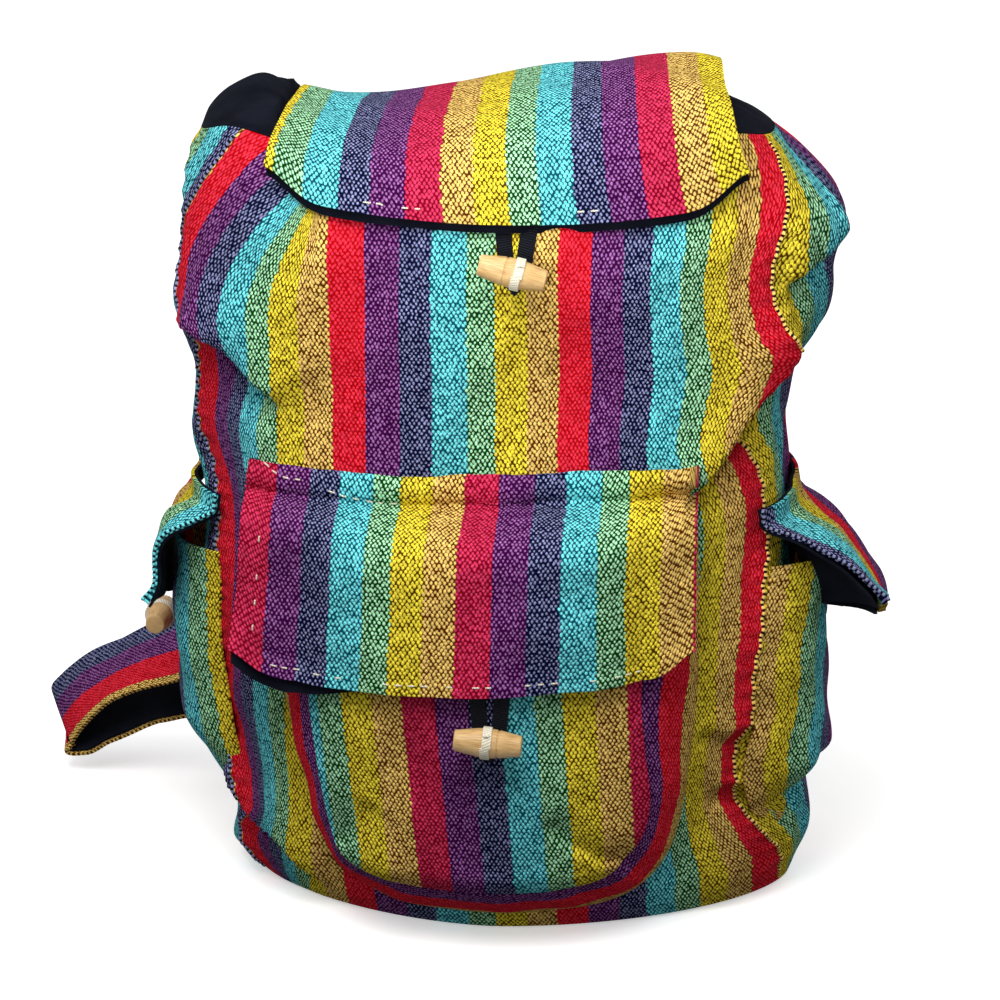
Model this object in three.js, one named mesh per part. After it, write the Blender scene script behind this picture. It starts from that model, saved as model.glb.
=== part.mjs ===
// A striped woven cotton backpack that stands on its base: a gathered main bag under a lined flap,
// a front pocket on a gusset, two side pockets, two shoulder straps and four wooden toggles.
// Millimetres, +Z up, the front faces -Y, and the origin is the middle of the base on the floor.

import * as THREE from 'three';

// Main bag
const BODY_HEIGHT = 366;
const BODY_WIDTH = 296;
const FRONT_DEPTH = 88;
const BACK_DEPTH = 73;
const CLOTH = 2;
const BASE_THICKNESS = 3;
const SEAM_GAP = 0.4;
const SEAT_GAP = 0.5;
const FLANGE_GAP = 0.9;

// Share of the height, then the left, right, front and back reach as shares of their sizes, and how
// square the section is there: 2 is an ellipse
const BODY_LEVELS = [
  [0.0, 0.84, 0.95, 0.93, 0.85, 2.2],
  [0.03, 0.9, 0.98, 1.02, 0.93, 2.2],
  [0.08, 0.895, 1.0, 1.02, 0.97, 2.3],
  [0.19, 0.92, 0.975, 1.0, 0.99, 2.6],
  [0.33, 0.945, 0.955, 1.0, 1.0, 3],
  [0.49, 0.955, 0.93, 0.99, 0.99, 3],
  [0.56, 0.975, 0.912, 0.97, 0.98, 3],
  [0.64, 1.0, 0.905, 0.955, 0.97, 3],
  [0.72, 0.995, 0.925, 0.955, 0.96, 3],
  [0.79, 1.07, 1.0, 0.99, 0.97, 3],
  [0.86, 1.04, 1.035, 1.01, 0.995, 3],
  [0.915, 1.02, 1.06, 0.985, 0.97, 3],
  [0.96, 1.0, 0.985, 0.9, 0.9, 3],
  [1.0, 0.975, 0.9, 0.77, 0.78, 3],
];

// The right shoulder stands higher than the rest of the rim: how much, how far below the rim that
// starts, and how far in from the right side
const SHOULDER_LIFT = 10;
const SHOULDER_DEPTH = 66;
const SHOULDER_RUN = 56;

// Seams of the main bag, in degrees round its section from +X
const SEAM_BACK_RIGHT = 38;
const SEAM_BACK_LEFT = 142;
const SEAM_FRONT_LEFT = 190;
const SEAM_FRONT_RIGHT = 330;

// Deep creases of the stuffed cloth: ends as x and z on the front, depth and half width
const CREASES = [
  { from: [128, 254], to: [96, 214], depth: 8, width: 10 },
  { from: [-150, 262], to: [-112, 240], depth: 6, width: 9 },
  { from: [-128, 120], to: [-100, 42], depth: 6, width: 10 },
  { from: [118, 120], to: [128, 44], depth: 5, width: 9 },
];

// Black gathered collar round the mouth
const COLLAR_SIDE_RISE = 22;
const COLLAR_FRONT_RISE = 5;
const COLLAR_CLOTH = 1.6;
const COLLAR_PROFILE = [[1, 0], [1, 0.42], [0.94, 0.84], [0.85, 1], [0.74, 0.6], [0.64, 0.15]];

// Top flap over the mouth
const FLAP_HEM_LEFT = -102;
const FLAP_HEM_RIGHT = 116;
const FLAP_HINGE_LEFT = -98;
const FLAP_HINGE_RIGHT = 92;
const FLAP_STANDOFF = 7.5;
const FLAP_BACK_LAP = 12;
const FLAP_HEM_BELOW_RIM = 24;
const FLAP_HEM_RISE = 9;
const FLAP_CORNER_RISE = 15;
const LINING = 1.4;
const LINING_SHOW = 2.5;

// The flap's highest line: x, then the height above the rim
const FLAP_CREST = [[-108, 20], [-64, 15], [-20, 23], [30, 32], [85, 38], [114, 33]];

// Shares of the way from the middle to the flap's front or back, and of the rise to its crest
const FLAP_FRONT_PATH = [[1, 0], [0.985, 0.275], [0.9, 0.625], [0.62, 0.89], [0.2, 1]];
const FLAP_BACK_PATH = [[0.4, 0.98], [0.9, 0.68], [1, 0]];

// Front pocket
const POCKET_MIDDLE = -4;
const POCKET_WIDTH = 156;
const POCKET_BOTTOM = 32;
const POCKET_TOP = 196;
const POCKET_CORNER = 36;
const GUSSET_DEPTH = 22;
const GUSSET_FLARE = 18;
const FOOT_CORNER = 46;
const POCKET_CROWN = 14;

// Front pocket flap
const FRONT_FLAP_MIDDLE = -10;
const FRONT_FLAP_WIDTH = 212;
const FRONT_FLAP_ABOVE_POCKET = 35;
const FRONT_FLAP_FLANGE = 12;
const FRONT_FLAP_DROP = 94;
const FRONT_FLAP_TILT = 0.03;
const FRONT_FLAP_CORNER = 10;
const FRONT_FLAP_EASE = 2.5;
const FRONT_FLAP_CURL = 9;
const FOLD_EASE = 1.5;

// Shares of the way from the hem to the pocket's top, and of the curl there
const FRONT_FLAP_FACE_PATH = [[0, 1], [0.35, 0.25], [0.75, 0]];

// Shares of the way from the pocket's top to the fold, and of the pocket's stand there
const FRONT_FLAP_BROW_PATH = [[0.25, 0.92], [0.75, 0.6]];
const FLANGE_MIDDLE = 0.4;

// Side pockets and their flaps
const SIDE_MIDDLE = -7;
const SIDE_POCKET_WIDTH = 94;
const SIDE_POCKET_BOTTOM = 36;
const SIDE_POCKET_TOP = 176;
const SIDE_POCKET_CORNER = 30;
const SIDE_FLAP_WIDTH = 100;
const SIDE_FLAP_ABOVE_POCKET = 22;
const SIDE_FLAP_DROP = 64;
const SIDE_FLAP_FLANGE = 8;
const SIDE_FLAP_CORNER = 74;
const SIDE_SEAT = 1.4;

// What differs between the sides: which way is out, how far the pocket puffs, how far the flap's hem
// reaches past the side of the bag and its front corner is lifted, the paths of the flap's front and
// back edges as shares of the drop and of the way out, and where the toggle and its loop are
const SIDES = [
  {
    name: 'left',
    out: -1,
    puff: 17,
    flapReach: 19,
    cornerLift: 16,
    frontPath: [[1, 1], [0.83, 0.89], [0.51, 0.86], [0.19, 0.57]],
    backPath: [[1, 1], [0.83, 1], [0.45, 0.95], [0.2, 0.58]],
    toggleY: 14,
    toggleBelowHem: 15,
    shank: 4.5,
    loopAboveHem: 10,
    loopReach: 13,
  },
  {
    name: 'right',
    out: 1,
    puff: 11,
    flapReach: 36,
    cornerLift: 29,
    frontPath: [[1, 1], [0.83, 0.9], [0.49, 0.73], [0.2, 0.44]],
    backPath: [[1, 1], [0.83, 0.96], [0.43, 0.56], [0.2, 0.27]],
    toggleY: 16,
    toggleBelowHem: -9,
    shank: 1.5,
    loopAboveHem: 36,
    loopReach: 8.5,
  },
];

// Toggles: bamboo barrels tied through the loops
const TOGGLE_LENGTH = 32;
const TOGGLE_DIAMETER = 14.5;
const TOGGLE_END_DIAMETER = 9.5;
const TOGGLE_WAIST_DIAMETER = 12.6;
const WAIST_SHOULDER = 0.6;

// Shares of half the length, and of the way from the end diameter to the full one
const BARREL_PROFILE = [[0.55, 0.92], [0.85, 0.5], [1, 0]];
const THREAD_WIDTH = 5;
const THREAD_FLAT = 0.8;
const THREAD_DIAMETER = 1.6;
const SHANK_DIAMETER = 2.2;
const TOP_TOGGLE = { x: 12, belowHem: 14, tilt: -13 };
const POCKET_TOGGLE = { x: 4, belowHem: 20, tilt: -4 };
const TOP_SHANK = 6;
const POCKET_SHANK = 3;

// Tape loops
const TAPE_WIDTH = 6.8;
const TAPE_THICKNESS = 1.2;
const TAPE_SPREAD = 5.4;
const TAPE_BELOW_TOGGLE = 14;
const TAPE_TUCK = 10;
const TAPE_ON_POCKET = 8;

// Shoulder straps
const STRAP_WIDTH = 44;
const STRAP_CLOTH = 2;
const STRAP_LINING = 1.4;
const STRAP_TOP_SPACING = 76;
const STRAP_TOP_BELOW_RIM = 28;
const STRAP_SEWN = 38;
const STRAP_END_HEIGHT = 46;
const STRAP_END_RUN = 22;
const FULLEST_BACK = 0.87;

// Where the slack of each strap falls: how far the band's middle lies past the side of the bag and
// past its back, its height, and then the direction across the band
const LEFT_STRAP_STOPS = [
  [-98, 31, 238, 0.95, 0.3, 0],
  [-72, 49, 168, 0.8, 0.55, 0.2],
  [-36, 39, 118, 0.45, 0.75, 0.45],
  [2, 20, 87, 0.15, 0.85, 0.5],
  [32, 17, 75, 0.05, 0.83, 0.55],
  [49, 19, 67, 0, 0.83, 0.55],
  [65, 24, 56, 0, 0.83, 0.55],
  [82, 29, 43, 0, 0.83, 0.55],
  [95, 34, 30, 0, 0.83, 0.55],
  [100.5, 37, 24.5, 0, 0.83, 0.55],
  [99, 40, 19.5, 0, 0.85, 0.5],
  [88, 40, 20, 0, 0.9, 0.4],
  [73, 37, 27.5, 0, 0.93, 0.35],
  [40, 33, 40, 0, 0.93, 0.35],
  [17, 23, 47, 0, 0.75, 0.66],
];
const RIGHT_STRAP_STOPS = [
  [-100, 39, 238, 1, 0, 0],
  [-86, 79, 172, 1, 0, 0],
  [-68, 113, 106, 1, 0, 0],
  [-52, 129, 50, 1, 0, 0],
  [-40, 120, 12, 1, 0, 0],
  [-32, 87, 5, 1, 0, -0.1],
  [-22, 45, 24, 0.6, 0.1, -0.75],
];

const WARM_STRIPE = 0xc9a52c;
const COOL_STRIPE = 0x3f9aa8;
const BLACK_COTTON = 0x1b1d26;
const BAMBOO = 0xcda468;
const WHITE_THREAD = 0xe9e4d8;

const bag = new THREE.Group();

function addPart(name, geometry, color, roughness = 0.95) {
  const material = new THREE.MeshStandardMaterial({ color, roughness, metalness: 0 });
  const mesh = new THREE.Mesh(geometry, material);
  mesh.name = name;
  bag.add(mesh);
  return mesh;
}

const clamp = THREE.MathUtils.clamp;
const lerp = THREE.MathUtils.lerp;
const radians = THREE.MathUtils.degToRad;
const smooth = (value, low, high) => THREE.MathUtils.smoothstep(value, low, high);

// Smooth interpolation of one column of a table whose first column rises
function tableValue(table, column, at) {
  let row = 0;
  while (row < table.length - 2 && at > table[row + 1][0]) {
    row += 1;
  }
  const slopeAt = (k) => {
    const before = table[Math.max(k - 1, 0)];
    const after = table[Math.min(k + 1, table.length - 1)];
    return (after[column] - before[column]) / (after[0] - before[0]);
  };
  const span = table[row + 1][0] - table[row][0];
  const t = clamp((at - table[row][0]) / span, 0, 1);
  const rise = t * t * (3 - 2 * t);
  const leave = t * (1 - t) * (1 - t) * span * slopeAt(row);
  const arrive = t * t * (t - 1) * span * slopeAt(row + 1);
  return lerp(table[row][column], table[row + 1][column], rise) + leave + arrive;
}

// Reaches of the main bag's section at a height
function bodySection(z) {
  const share = clamp(z / BODY_HEIGHT, 0, 1);
  return {
    left: tableValue(BODY_LEVELS, 1, share) * BODY_WIDTH / 2,
    right: tableValue(BODY_LEVELS, 2, share) * BODY_WIDTH / 2,
    front: tableValue(BODY_LEVELS, 3, share) * FRONT_DEPTH,
    back: tableValue(BODY_LEVELS, 4, share) * BACK_DEPTH,
    squareness: tableValue(BODY_LEVELS, 5, share),
  };
}

function bodyPoint(angle, z) {
  const section = bodySection(z);
  const power = 2 / section.squareness;
  const across = Math.cos(angle);
  const along = Math.sin(angle);
  const x = Math.sign(across) * Math.abs(across) ** power * (across < 0 ? section.left : section.right);
  const y = Math.sign(along) * Math.abs(along) ** power * (along < 0 ? section.front : section.back);
  const shoulder = smooth(x, section.right - SHOULDER_RUN, section.right);
  const lift = SHOULDER_LIFT * shoulder * smooth(z, BODY_HEIGHT - SHOULDER_DEPTH, BODY_HEIGHT);
  return new THREE.Vector3(x, y, z + lift);
}

// How much of a reach is left at an offset from the middle of the section
function roundOff(offset, reach, squareness) {
  const share = Math.min(Math.abs(offset) / reach, 1);
  return (1 - share ** squareness) ** (1 / squareness);
}

function frontY(x, z) {
  const section = bodySection(z);
  return -section.front * roundOff(x, x < 0 ? section.left : section.right, section.squareness);
}

function backY(x, z) {
  const section = bodySection(z);
  return section.back * roundOff(x, x < 0 ? section.left : section.right, section.squareness);
}

function sideX(side, y, z) {
  const section = bodySection(z);
  const reach = side < 0 ? section.left : section.right;
  return side * reach * roundOff(y, y < 0 ? section.front : section.back, section.squareness);
}

// Depth of the creases at a point of the front cloth
function creaseDepth(point) {
  let depth = 0;
  const here = new THREE.Vector2(point.x, point.z);
  for (const crease of CREASES) {
    const start = new THREE.Vector2(...crease.from);
    const run = new THREE.Vector2(...crease.to).sub(start);
    const along = clamp(here.clone().sub(start).dot(run) / run.lengthSq(), 0, 1);
    const away = here.distanceTo(start.clone().addScaledVector(run, along));
    depth += crease.depth * Math.exp(-((away / crease.width) ** 2));
  }
  return depth;
}

// A closed cloth: surface(u, v) gives its outer face, and the cloth lies below that face
function cloth(surface, columns, rows, thickness, closedRound = false) {
  const step = 1e-4;
  const positions = [];
  const indices = [];
  const ringColumns = closedRound ? columns : columns + 1;
  const layer = ringColumns * (rows + 1);
  const outer = [];
  const inner = [];
  for (let j = 0; j <= rows; j += 1) {
    for (let i = 0; i < ringColumns; i += 1) {
      const u = i / columns;
      const v = j / rows;
      const point = surface(u, v);
      const low = Math.max(v - step, 0);
      const high = Math.min(v + step, 1);
      const left = closedRound ? u - step : Math.max(u - step, 0);
      const right = closedRound ? u + step : Math.min(u + step, 1);
      const alongU = surface(right, v).sub(surface(left, v));
      const alongV = surface(u, high).sub(surface(u, low));
      const normal = alongU.cross(alongV).normalize();
      outer.push(point);
      inner.push(point.clone().addScaledVector(normal, -thickness));
    }
  }
  for (const point of [...outer, ...inner]) {
    positions.push(point.x, point.y, point.z);
  }
  const at = (i, j) => j * ringColumns + (i % ringColumns);
  const quad = (a, b, c, d) => indices.push(a, b, c, a, c, d);
  for (let j = 0; j < rows; j += 1) {
    for (let i = 0; i < columns; i += 1) {
      quad(at(i, j), at(i + 1, j), at(i + 1, j + 1), at(i, j + 1));
      quad(layer + at(i, j), layer + at(i, j + 1), layer + at(i + 1, j + 1), layer + at(i + 1, j));
    }
  }
  for (let i = 0; i < columns; i += 1) {
    quad(layer + at(i, 0), layer + at(i + 1, 0), at(i + 1, 0), at(i, 0));
    quad(at(i, rows), at(i + 1, rows), layer + at(i + 1, rows), layer + at(i, rows));
  }
  if (!closedRound) {
    for (let j = 0; j < rows; j += 1) {
      quad(layer + at(0, j + 1), layer + at(0, j), at(0, j), at(0, j + 1));
      quad(layer + at(columns, j), layer + at(columns, j + 1), at(columns, j + 1), at(columns, j));
    }
  }
  const geometry = new THREE.BufferGeometry();
  geometry.setAttribute('position', new THREE.Float32BufferAttribute(positions, 3));
  geometry.setIndex(indices);
  return geometry;
}

// The lining of a flap: it lies under the flap's cloth and shows a little below the hem at v = 0
function lining(surface) {
  const step = 1e-3;
  return (u, v) => {
    const left = clamp(u - step, 0, 1);
    const right = clamp(u + step, 0, 1);
    const low = clamp(v - step, 0, 1);
    const high = clamp(v + step, 0, 1);
    const alongU = surface(right, v).sub(surface(left, v));
    const alongV = surface(u, high).sub(surface(u, low)).normalize();
    const normal = alongU.cross(alongV).normalize();
    const point = surface(u, v).addScaledVector(normal, -(CLOTH + SEAM_GAP));
    return point.addScaledVector(alongV, -LINING_SHOW * (1 - v) ** 8);
  };
}

// Main bag: panels between the seams, standing on the base
const PANEL_ROWS = 14;
const PANEL_BOTTOM = BASE_THICKNESS + SEAM_GAP;

function panel(name, fromDegrees, toDegrees, columns, color, creased) {
  const surface = (u, v) => {
    const crowded = lerp(v, 0.5 - 0.5 * Math.cos(Math.PI * v), 0.6);
    const z = lerp(PANEL_BOTTOM, BODY_HEIGHT, crowded);
    const midAngle = radians(lerp(fromDegrees, toDegrees, u));
    const point = bodyPoint(midAngle, z);
    const trim = (0.5 - u) * SEAM_GAP;
    const ahead = bodyPoint(midAngle + 1e-4, z).sub(point).normalize();
    point.addScaledVector(ahead, trim);
    if (creased) {
      const inward = new THREE.Vector3(-point.x / BODY_WIDTH, -point.y / FRONT_DEPTH, 0).normalize();
      const edgeEase = smooth(u, 0, 0.08) * (1 - smooth(u, 0.92, 1));
      point.addScaledVector(inward, creaseDepth(point) * edgeEase);
    }
    return point;
  };
  addPart(name, cloth(surface, columns, PANEL_ROWS, CLOTH), color);
}

panel('front_panel', SEAM_FRONT_LEFT, SEAM_FRONT_RIGHT, 20, WARM_STRIPE, true);
panel('left_side_panel', SEAM_BACK_LEFT, SEAM_FRONT_LEFT, 6, COOL_STRIPE, false);
panel('right_side_panel', SEAM_FRONT_RIGHT - 360, SEAM_BACK_RIGHT, 8, COOL_STRIPE, false);
panel('back_panel', SEAM_BACK_RIGHT, SEAM_BACK_LEFT, 12, BLACK_COTTON, false);

function makeBase() {
  const sides = 48;
  const outline = [];
  for (let i = 0; i < sides; i += 1) {
    const corner = bodyPoint(i / sides * Math.PI * 2, PANEL_BOTTOM);
    outline.push(new THREE.Vector2(corner.x, corner.y));
  }
  const settings = { depth: BASE_THICKNESS, bevelEnabled: false };
  return new THREE.ExtrudeGeometry(new THREE.Shape(outline), settings);
}

addPart('base_panel', makeBase(), COOL_STRIPE);

// Collar: a roll of black cotton that rises from the rim and turns in to the mouth
function collarSurface(u, v) {
  const angle = u * Math.PI * 2;
  const rise = lerp(COLLAR_FRONT_RISE, COLLAR_SIDE_RISE, Math.abs(Math.cos(angle)) ** 8);
  const place = v * (COLLAR_PROFILE.length - 1);
  const rows = COLLAR_PROFILE.map((pair, index) => [index, ...pair]);
  const reach = tableValue(rows, 1, place);
  const lift = tableValue(rows, 2, place);
  const rim = bodyPoint(angle, BODY_HEIGHT);
  return new THREE.Vector3(rim.x * reach, rim.y * reach, rim.z + SEAM_GAP + rise * lift);
}

addPart('mouth_collar', cloth(collarSurface, 36, 5, COLLAR_CLOTH, true), BLACK_COTTON);

// Top flap: from the hem on the front, over the mouth, to its seam on the back
const FLAP_STACK = CLOTH + SEAM_GAP + LINING;
const flapSeamHeight = BODY_HEIGHT - FLAP_BACK_LAP;
const flapHemHeight = BODY_HEIGHT - FLAP_HEM_BELOW_RIM;

function flapSurface(u, v) {
  const across = 2 * u - 1;
  const left = lerp(FLAP_HEM_LEFT, FLAP_HINGE_LEFT, v);
  const right = lerp(FLAP_HEM_RIGHT, FLAP_HINGE_RIGHT, v);
  const x = lerp(left, right, u);
  const crest = BODY_HEIGHT + tableValue(FLAP_CREST, 1, x);
  const corner = smooth(Math.abs(across), 0.74, 1) ** 2;
  const hem = flapHemHeight + FLAP_HEM_RISE * across * across + FLAP_CORNER_RISE * corner;
  const front = frontY(x, flapHemHeight) - FLAP_STANDOFF;
  const back = backY(x, flapSeamHeight) + FLANGE_GAP + FLAP_STACK;
  const at = (reach, low) => ([out, up]) => new THREE.Vector3(x, reach * out, lerp(low, crest, up));
  const path = new THREE.CatmullRomCurve3([
    ...FLAP_FRONT_PATH.map(at(front, hem)),
    ...FLAP_BACK_PATH.map(at(back, flapSeamHeight)),
  ]);
  return path.getPoint(v);
}

addPart('top_flap', cloth(flapSurface, 14, 11, CLOTH), WARM_STRIPE);
addPart('top_flap_lining', cloth(lining(flapSurface), 14, 11, LINING), BLACK_COTTON);

// Half width of a pocket whose lower corners are rounded
function pocketHalf(width, bottom, corner, z) {
  const above = clamp(z - bottom, 0, corner);
  return width / 2 - corner + Math.sqrt(corner ** 2 - (corner - above) ** 2);
}

// Distance from the main bag to the outer face of the front pocket
function pocketStand(x, z) {
  const half = pocketHalf(POCKET_WIDTH, POCKET_BOTTOM, POCKET_CORNER, z);
  const across = clamp((x - POCKET_MIDDLE) / half, -1, 1);
  const up = clamp((z - POCKET_BOTTOM) / (POCKET_TOP - POCKET_BOTTOM), 0, 1);
  const crown = POCKET_CROWN * (1 - across * across) * Math.sin(Math.PI * lerp(0.12, 0.72, up));
  return SEAT_GAP + GUSSET_DEPTH + SEAM_GAP + CLOTH + crown;
}

function pocketSurface(u, v) {
  const z = lerp(POCKET_BOTTOM, POCKET_TOP, v);
  const half = pocketHalf(POCKET_WIDTH, POCKET_BOTTOM, POCKET_CORNER, z);
  const x = POCKET_MIDDLE + (2 * u - 1) * half;
  return new THREE.Vector3(x, frontY(x, z) - pocketStand(x, z), z);
}

addPart('front_pocket_panel', cloth(pocketSurface, 12, 10, CLOTH), COOL_STRIPE);

// Line round three sides of the pocket, wider than its panel by the flare
function gussetLine(flare, corner) {
  const left = POCKET_MIDDLE - POCKET_WIDTH / 2 - flare;
  const right = POCKET_MIDDLE + POCKET_WIDTH / 2 + flare;
  const bottom = POCKET_BOTTOM - flare;
  const turn = bottom + corner;
  const line = new THREE.Path();
  line.moveTo(left, POCKET_TOP);
  line.lineTo(left, turn);
  line.absarc(left + corner, turn, corner, Math.PI, Math.PI * 1.5, false);
  line.lineTo(right - corner, bottom);
  line.absarc(right - corner, turn, corner, Math.PI * 1.5, Math.PI * 2, false);
  line.lineTo(right, POCKET_TOP);
  return line;
}

// Gusset: the strip between the main bag and the pocket, down one side, along the bottom and up. Its
// foot on the bag is wider than the pocket, and the cloth's thickness is added to its seat there
function makeGusset() {
  const panelEdge = gussetLine(0, POCKET_CORNER);
  const foot = gussetLine(GUSSET_FLARE, FOOT_CORNER);
  const surface = (u, v) => {
    const edge = panelEdge.getPointAt(u);
    const base = foot.getPointAt(u);
    const inside = base.x - Math.sign(base.x - POCKET_MIDDLE) * CLOTH;
    const seamY = frontY(inside, base.y + CLOTH) - SEAT_GAP - CLOTH;
    const pocketY = frontY(edge.x, edge.y) - SEAT_GAP - GUSSET_DEPTH;
    return new THREE.Vector3(lerp(base.x, edge.x, v), lerp(seamY, pocketY, v), lerp(base.y, edge.y, v));
  };
  return cloth(surface, 36, 1, CLOTH);
}

addPart('front_pocket_gusset', makeGusset(), WARM_STRIPE);

// Front pocket flap: a flange sewn to the main bag, folded out over the pocket
const FLANGE_STAND = FLANGE_GAP + FLAP_STACK;
const frontFlapTop = POCKET_TOP + FRONT_FLAP_ABOVE_POCKET;
const frontFlapHem = frontFlapTop - FRONT_FLAP_DROP;

function frontFlapSurface(u, v) {
  const across = 2 * u - 1;
  const x = FRONT_FLAP_MIDDLE + across * FRONT_FLAP_WIDTH / 2;
  const lean = FRONT_FLAP_TILT * (x - FRONT_FLAP_MIDDLE);
  const corner = FRONT_FLAP_CORNER * smooth(Math.abs(across), 0.72, 1) ** 2;
  const top = frontFlapTop + lean;
  const fold = top - FRONT_FLAP_FLANGE;
  const hem = frontFlapHem + lean + corner;
  const over = (z) => pocketStand(x, z) + FRONT_FLAP_EASE + FLAP_STACK;
  const brow = over(POCKET_TOP);
  const curl = FRONT_FLAP_CURL * smooth(-across, 0.3, 1);
  const at = (z, stand) => new THREE.Vector3(x, frontY(x, z) - stand, z);
  const onFace = ([up, curlShare]) => {
    const z = lerp(hem, POCKET_TOP, up);
    return at(z, over(z) + curl * curlShare);
  };
  const onBrow = ([up, share]) => at(lerp(POCKET_TOP, fold, up), lerp(FLANGE_STAND, brow, share));
  const path = new THREE.CatmullRomCurve3([
    ...FRONT_FLAP_FACE_PATH.map(onFace),
    ...FRONT_FLAP_BROW_PATH.map(onBrow),
    at(fold, FLANGE_STAND + FOLD_EASE),
    at(lerp(fold, top, FLANGE_MIDDLE), FLANGE_STAND),
    at(top, FLANGE_STAND),
  ]);
  return path.getPoint(v);
}

addPart('front_pocket_flap', cloth(frontFlapSurface, 12, 10, CLOTH), WARM_STRIPE);
addPart('front_pocket_flap_lining', cloth(lining(frontFlapSurface), 12, 10, LINING), BLACK_COTTON);

// Side pockets: patch pockets that puff out from the sides
function sidePocketStand(side, y, z) {
  const half = pocketHalf(SIDE_POCKET_WIDTH, SIDE_POCKET_BOTTOM, SIDE_POCKET_CORNER, z);
  const across = clamp((y - SIDE_MIDDLE) / half, -1, 1);
  const up = clamp((z - SIDE_POCKET_BOTTOM) / (SIDE_POCKET_TOP - SIDE_POCKET_BOTTOM), 0, 1);
  const swell = smooth(up, -0.1, 0.5) * lerp(1, 0.85, smooth(up, 0.6, 1));
  return SIDE_SEAT + CLOTH + side.puff * (1 - across ** 4) * swell;
}

// A point that stands off a side: square to the cloth up to the seat, and then straight out
function sidePoint(out, y, z, stand, seat) {
  const section = bodySection(z);
  const x = sideX(out, y, z);
  const reach = out < 0 ? section.left : section.right;
  const depth = y < 0 ? section.front : section.back;
  const slope = section.squareness - 1;
  const acrossX = out * Math.abs(x / reach) ** slope / reach;
  const acrossY = Math.sign(y) * Math.abs(y / depth) ** slope / depth;
  const square = new THREE.Vector3(acrossX, acrossY, 0).normalize();
  const point = new THREE.Vector3(x, y, z).addScaledVector(square, seat);
  point.x += out * (stand - seat);
  return point;
}

function sidePocketSurface(side) {
  return (u, v) => {
    const z = lerp(SIDE_POCKET_BOTTOM, SIDE_POCKET_TOP, v);
    const half = pocketHalf(SIDE_POCKET_WIDTH, SIDE_POCKET_BOTTOM, SIDE_POCKET_CORNER, z);
    const y = SIDE_MIDDLE + side.out * (2 * u - 1) * half;
    return sidePoint(side.out, y, z, sidePocketStand(side, y, z), SIDE_SEAT + CLOTH);
  };
}

const sideFlapTop = SIDE_POCKET_TOP + SIDE_FLAP_ABOVE_POCKET;
const sideFlapHem = sideFlapTop - SIDE_FLAP_DROP;
const SIDE_FLANGE_STAND = SIDE_SEAT + FLAP_STACK;

// The flap's front corner is lifted, and its edge there has a path of its own
function sideFlapSurface(side) {
  const hemX = side.out * (BODY_WIDTH / 2 + side.flapReach);
  const frontEdge = SIDE_MIDDLE - SIDE_FLAP_WIDTH / 2;
  return (u, v) => {
    const y = SIDE_MIDDLE + side.out * (u - 0.5) * SIDE_FLAP_WIDTH;
    const toBack = smooth(y, frontEdge, frontEdge + SIDE_FLAP_CORNER);
    const drop = SIDE_FLAP_DROP - side.cornerLift * (1 - toBack);
    const atHinge = (up, ease) => {
      return sidePoint(side.out, y, sideFlapTop + up, SIDE_FLANGE_STAND + ease, SIDE_FLANGE_STAND);
    };
    const hinge = atHinge(0, 0);
    const onFace = ([frontDown, frontOut], index) => {
      const [backDown, backOut] = side.backPath[index];
      const x = lerp(hinge.x, hemX, lerp(frontOut, backOut, toBack));
      return new THREE.Vector3(x, hinge.y, sideFlapTop - drop * lerp(frontDown, backDown, toBack));
    };
    const path = new THREE.CatmullRomCurve3([
      ...side.frontPath.map(onFace),
      atHinge(0, FOLD_EASE),
      atHinge(SIDE_FLAP_FLANGE / 2, SEAM_GAP),
      atHinge(SIDE_FLAP_FLANGE, 0),
    ]);
    return path.getPoint(v);
  };
}

for (const side of SIDES) {
  const flap = sideFlapSurface(side);
  addPart(`${side.name}_side_pocket`, cloth(sidePocketSurface(side), 8, 9, CLOTH), COOL_STRIPE);
  addPart(`${side.name}_side_flap`, cloth(flap, 6, 8, CLOTH), WARM_STRIPE);
  addPart(`${side.name}_side_flap_lining`, cloth(lining(flap), 6, 8, LINING), BLACK_COTTON);
}

// Toggle: a barrel with a waist for the thread, which ties it to a short shank on the cloth
const THREAD_INNER = TOGGLE_WAIST_DIAMETER / 2 + SEAM_GAP;
const THREAD_OUTER = THREAD_INNER + THREAD_DIAMETER;

function makeBarrel() {
  const half = TOGGLE_LENGTH / 2;
  const waist = THREAD_WIDTH / 2 + SEAM_GAP;
  const side = [
    [TOGGLE_WAIST_DIAMETER / 2, waist],
    [TOGGLE_DIAMETER / 2, waist + WAIST_SHOULDER],
    ...BARREL_PROFILE.map(([along, full]) => [lerp(TOGGLE_END_DIAMETER, TOGGLE_DIAMETER, full) / 2, half * along]),
    [0, half],
  ];
  const profile = side.map(([radius, along]) => new THREE.Vector2(radius, along));
  const mirrored = side.map(([radius, along]) => new THREE.Vector2(radius, -along)).reverse();
  return new THREE.LatheGeometry([...mirrored, ...profile], 12);
}

function makeThread() {
  const half = THREAD_WIDTH / 2;
  const profile = [
    new THREE.Vector2(THREAD_INNER, -half),
    new THREE.Vector2(THREAD_OUTER, -half * THREAD_FLAT),
    new THREE.Vector2(THREAD_OUTER, half * THREAD_FLAT),
    new THREE.Vector2(THREAD_INNER, half),
    new THREE.Vector2(THREAD_INNER, -half),
  ];
  return new THREE.LatheGeometry(profile, 12);
}

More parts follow.
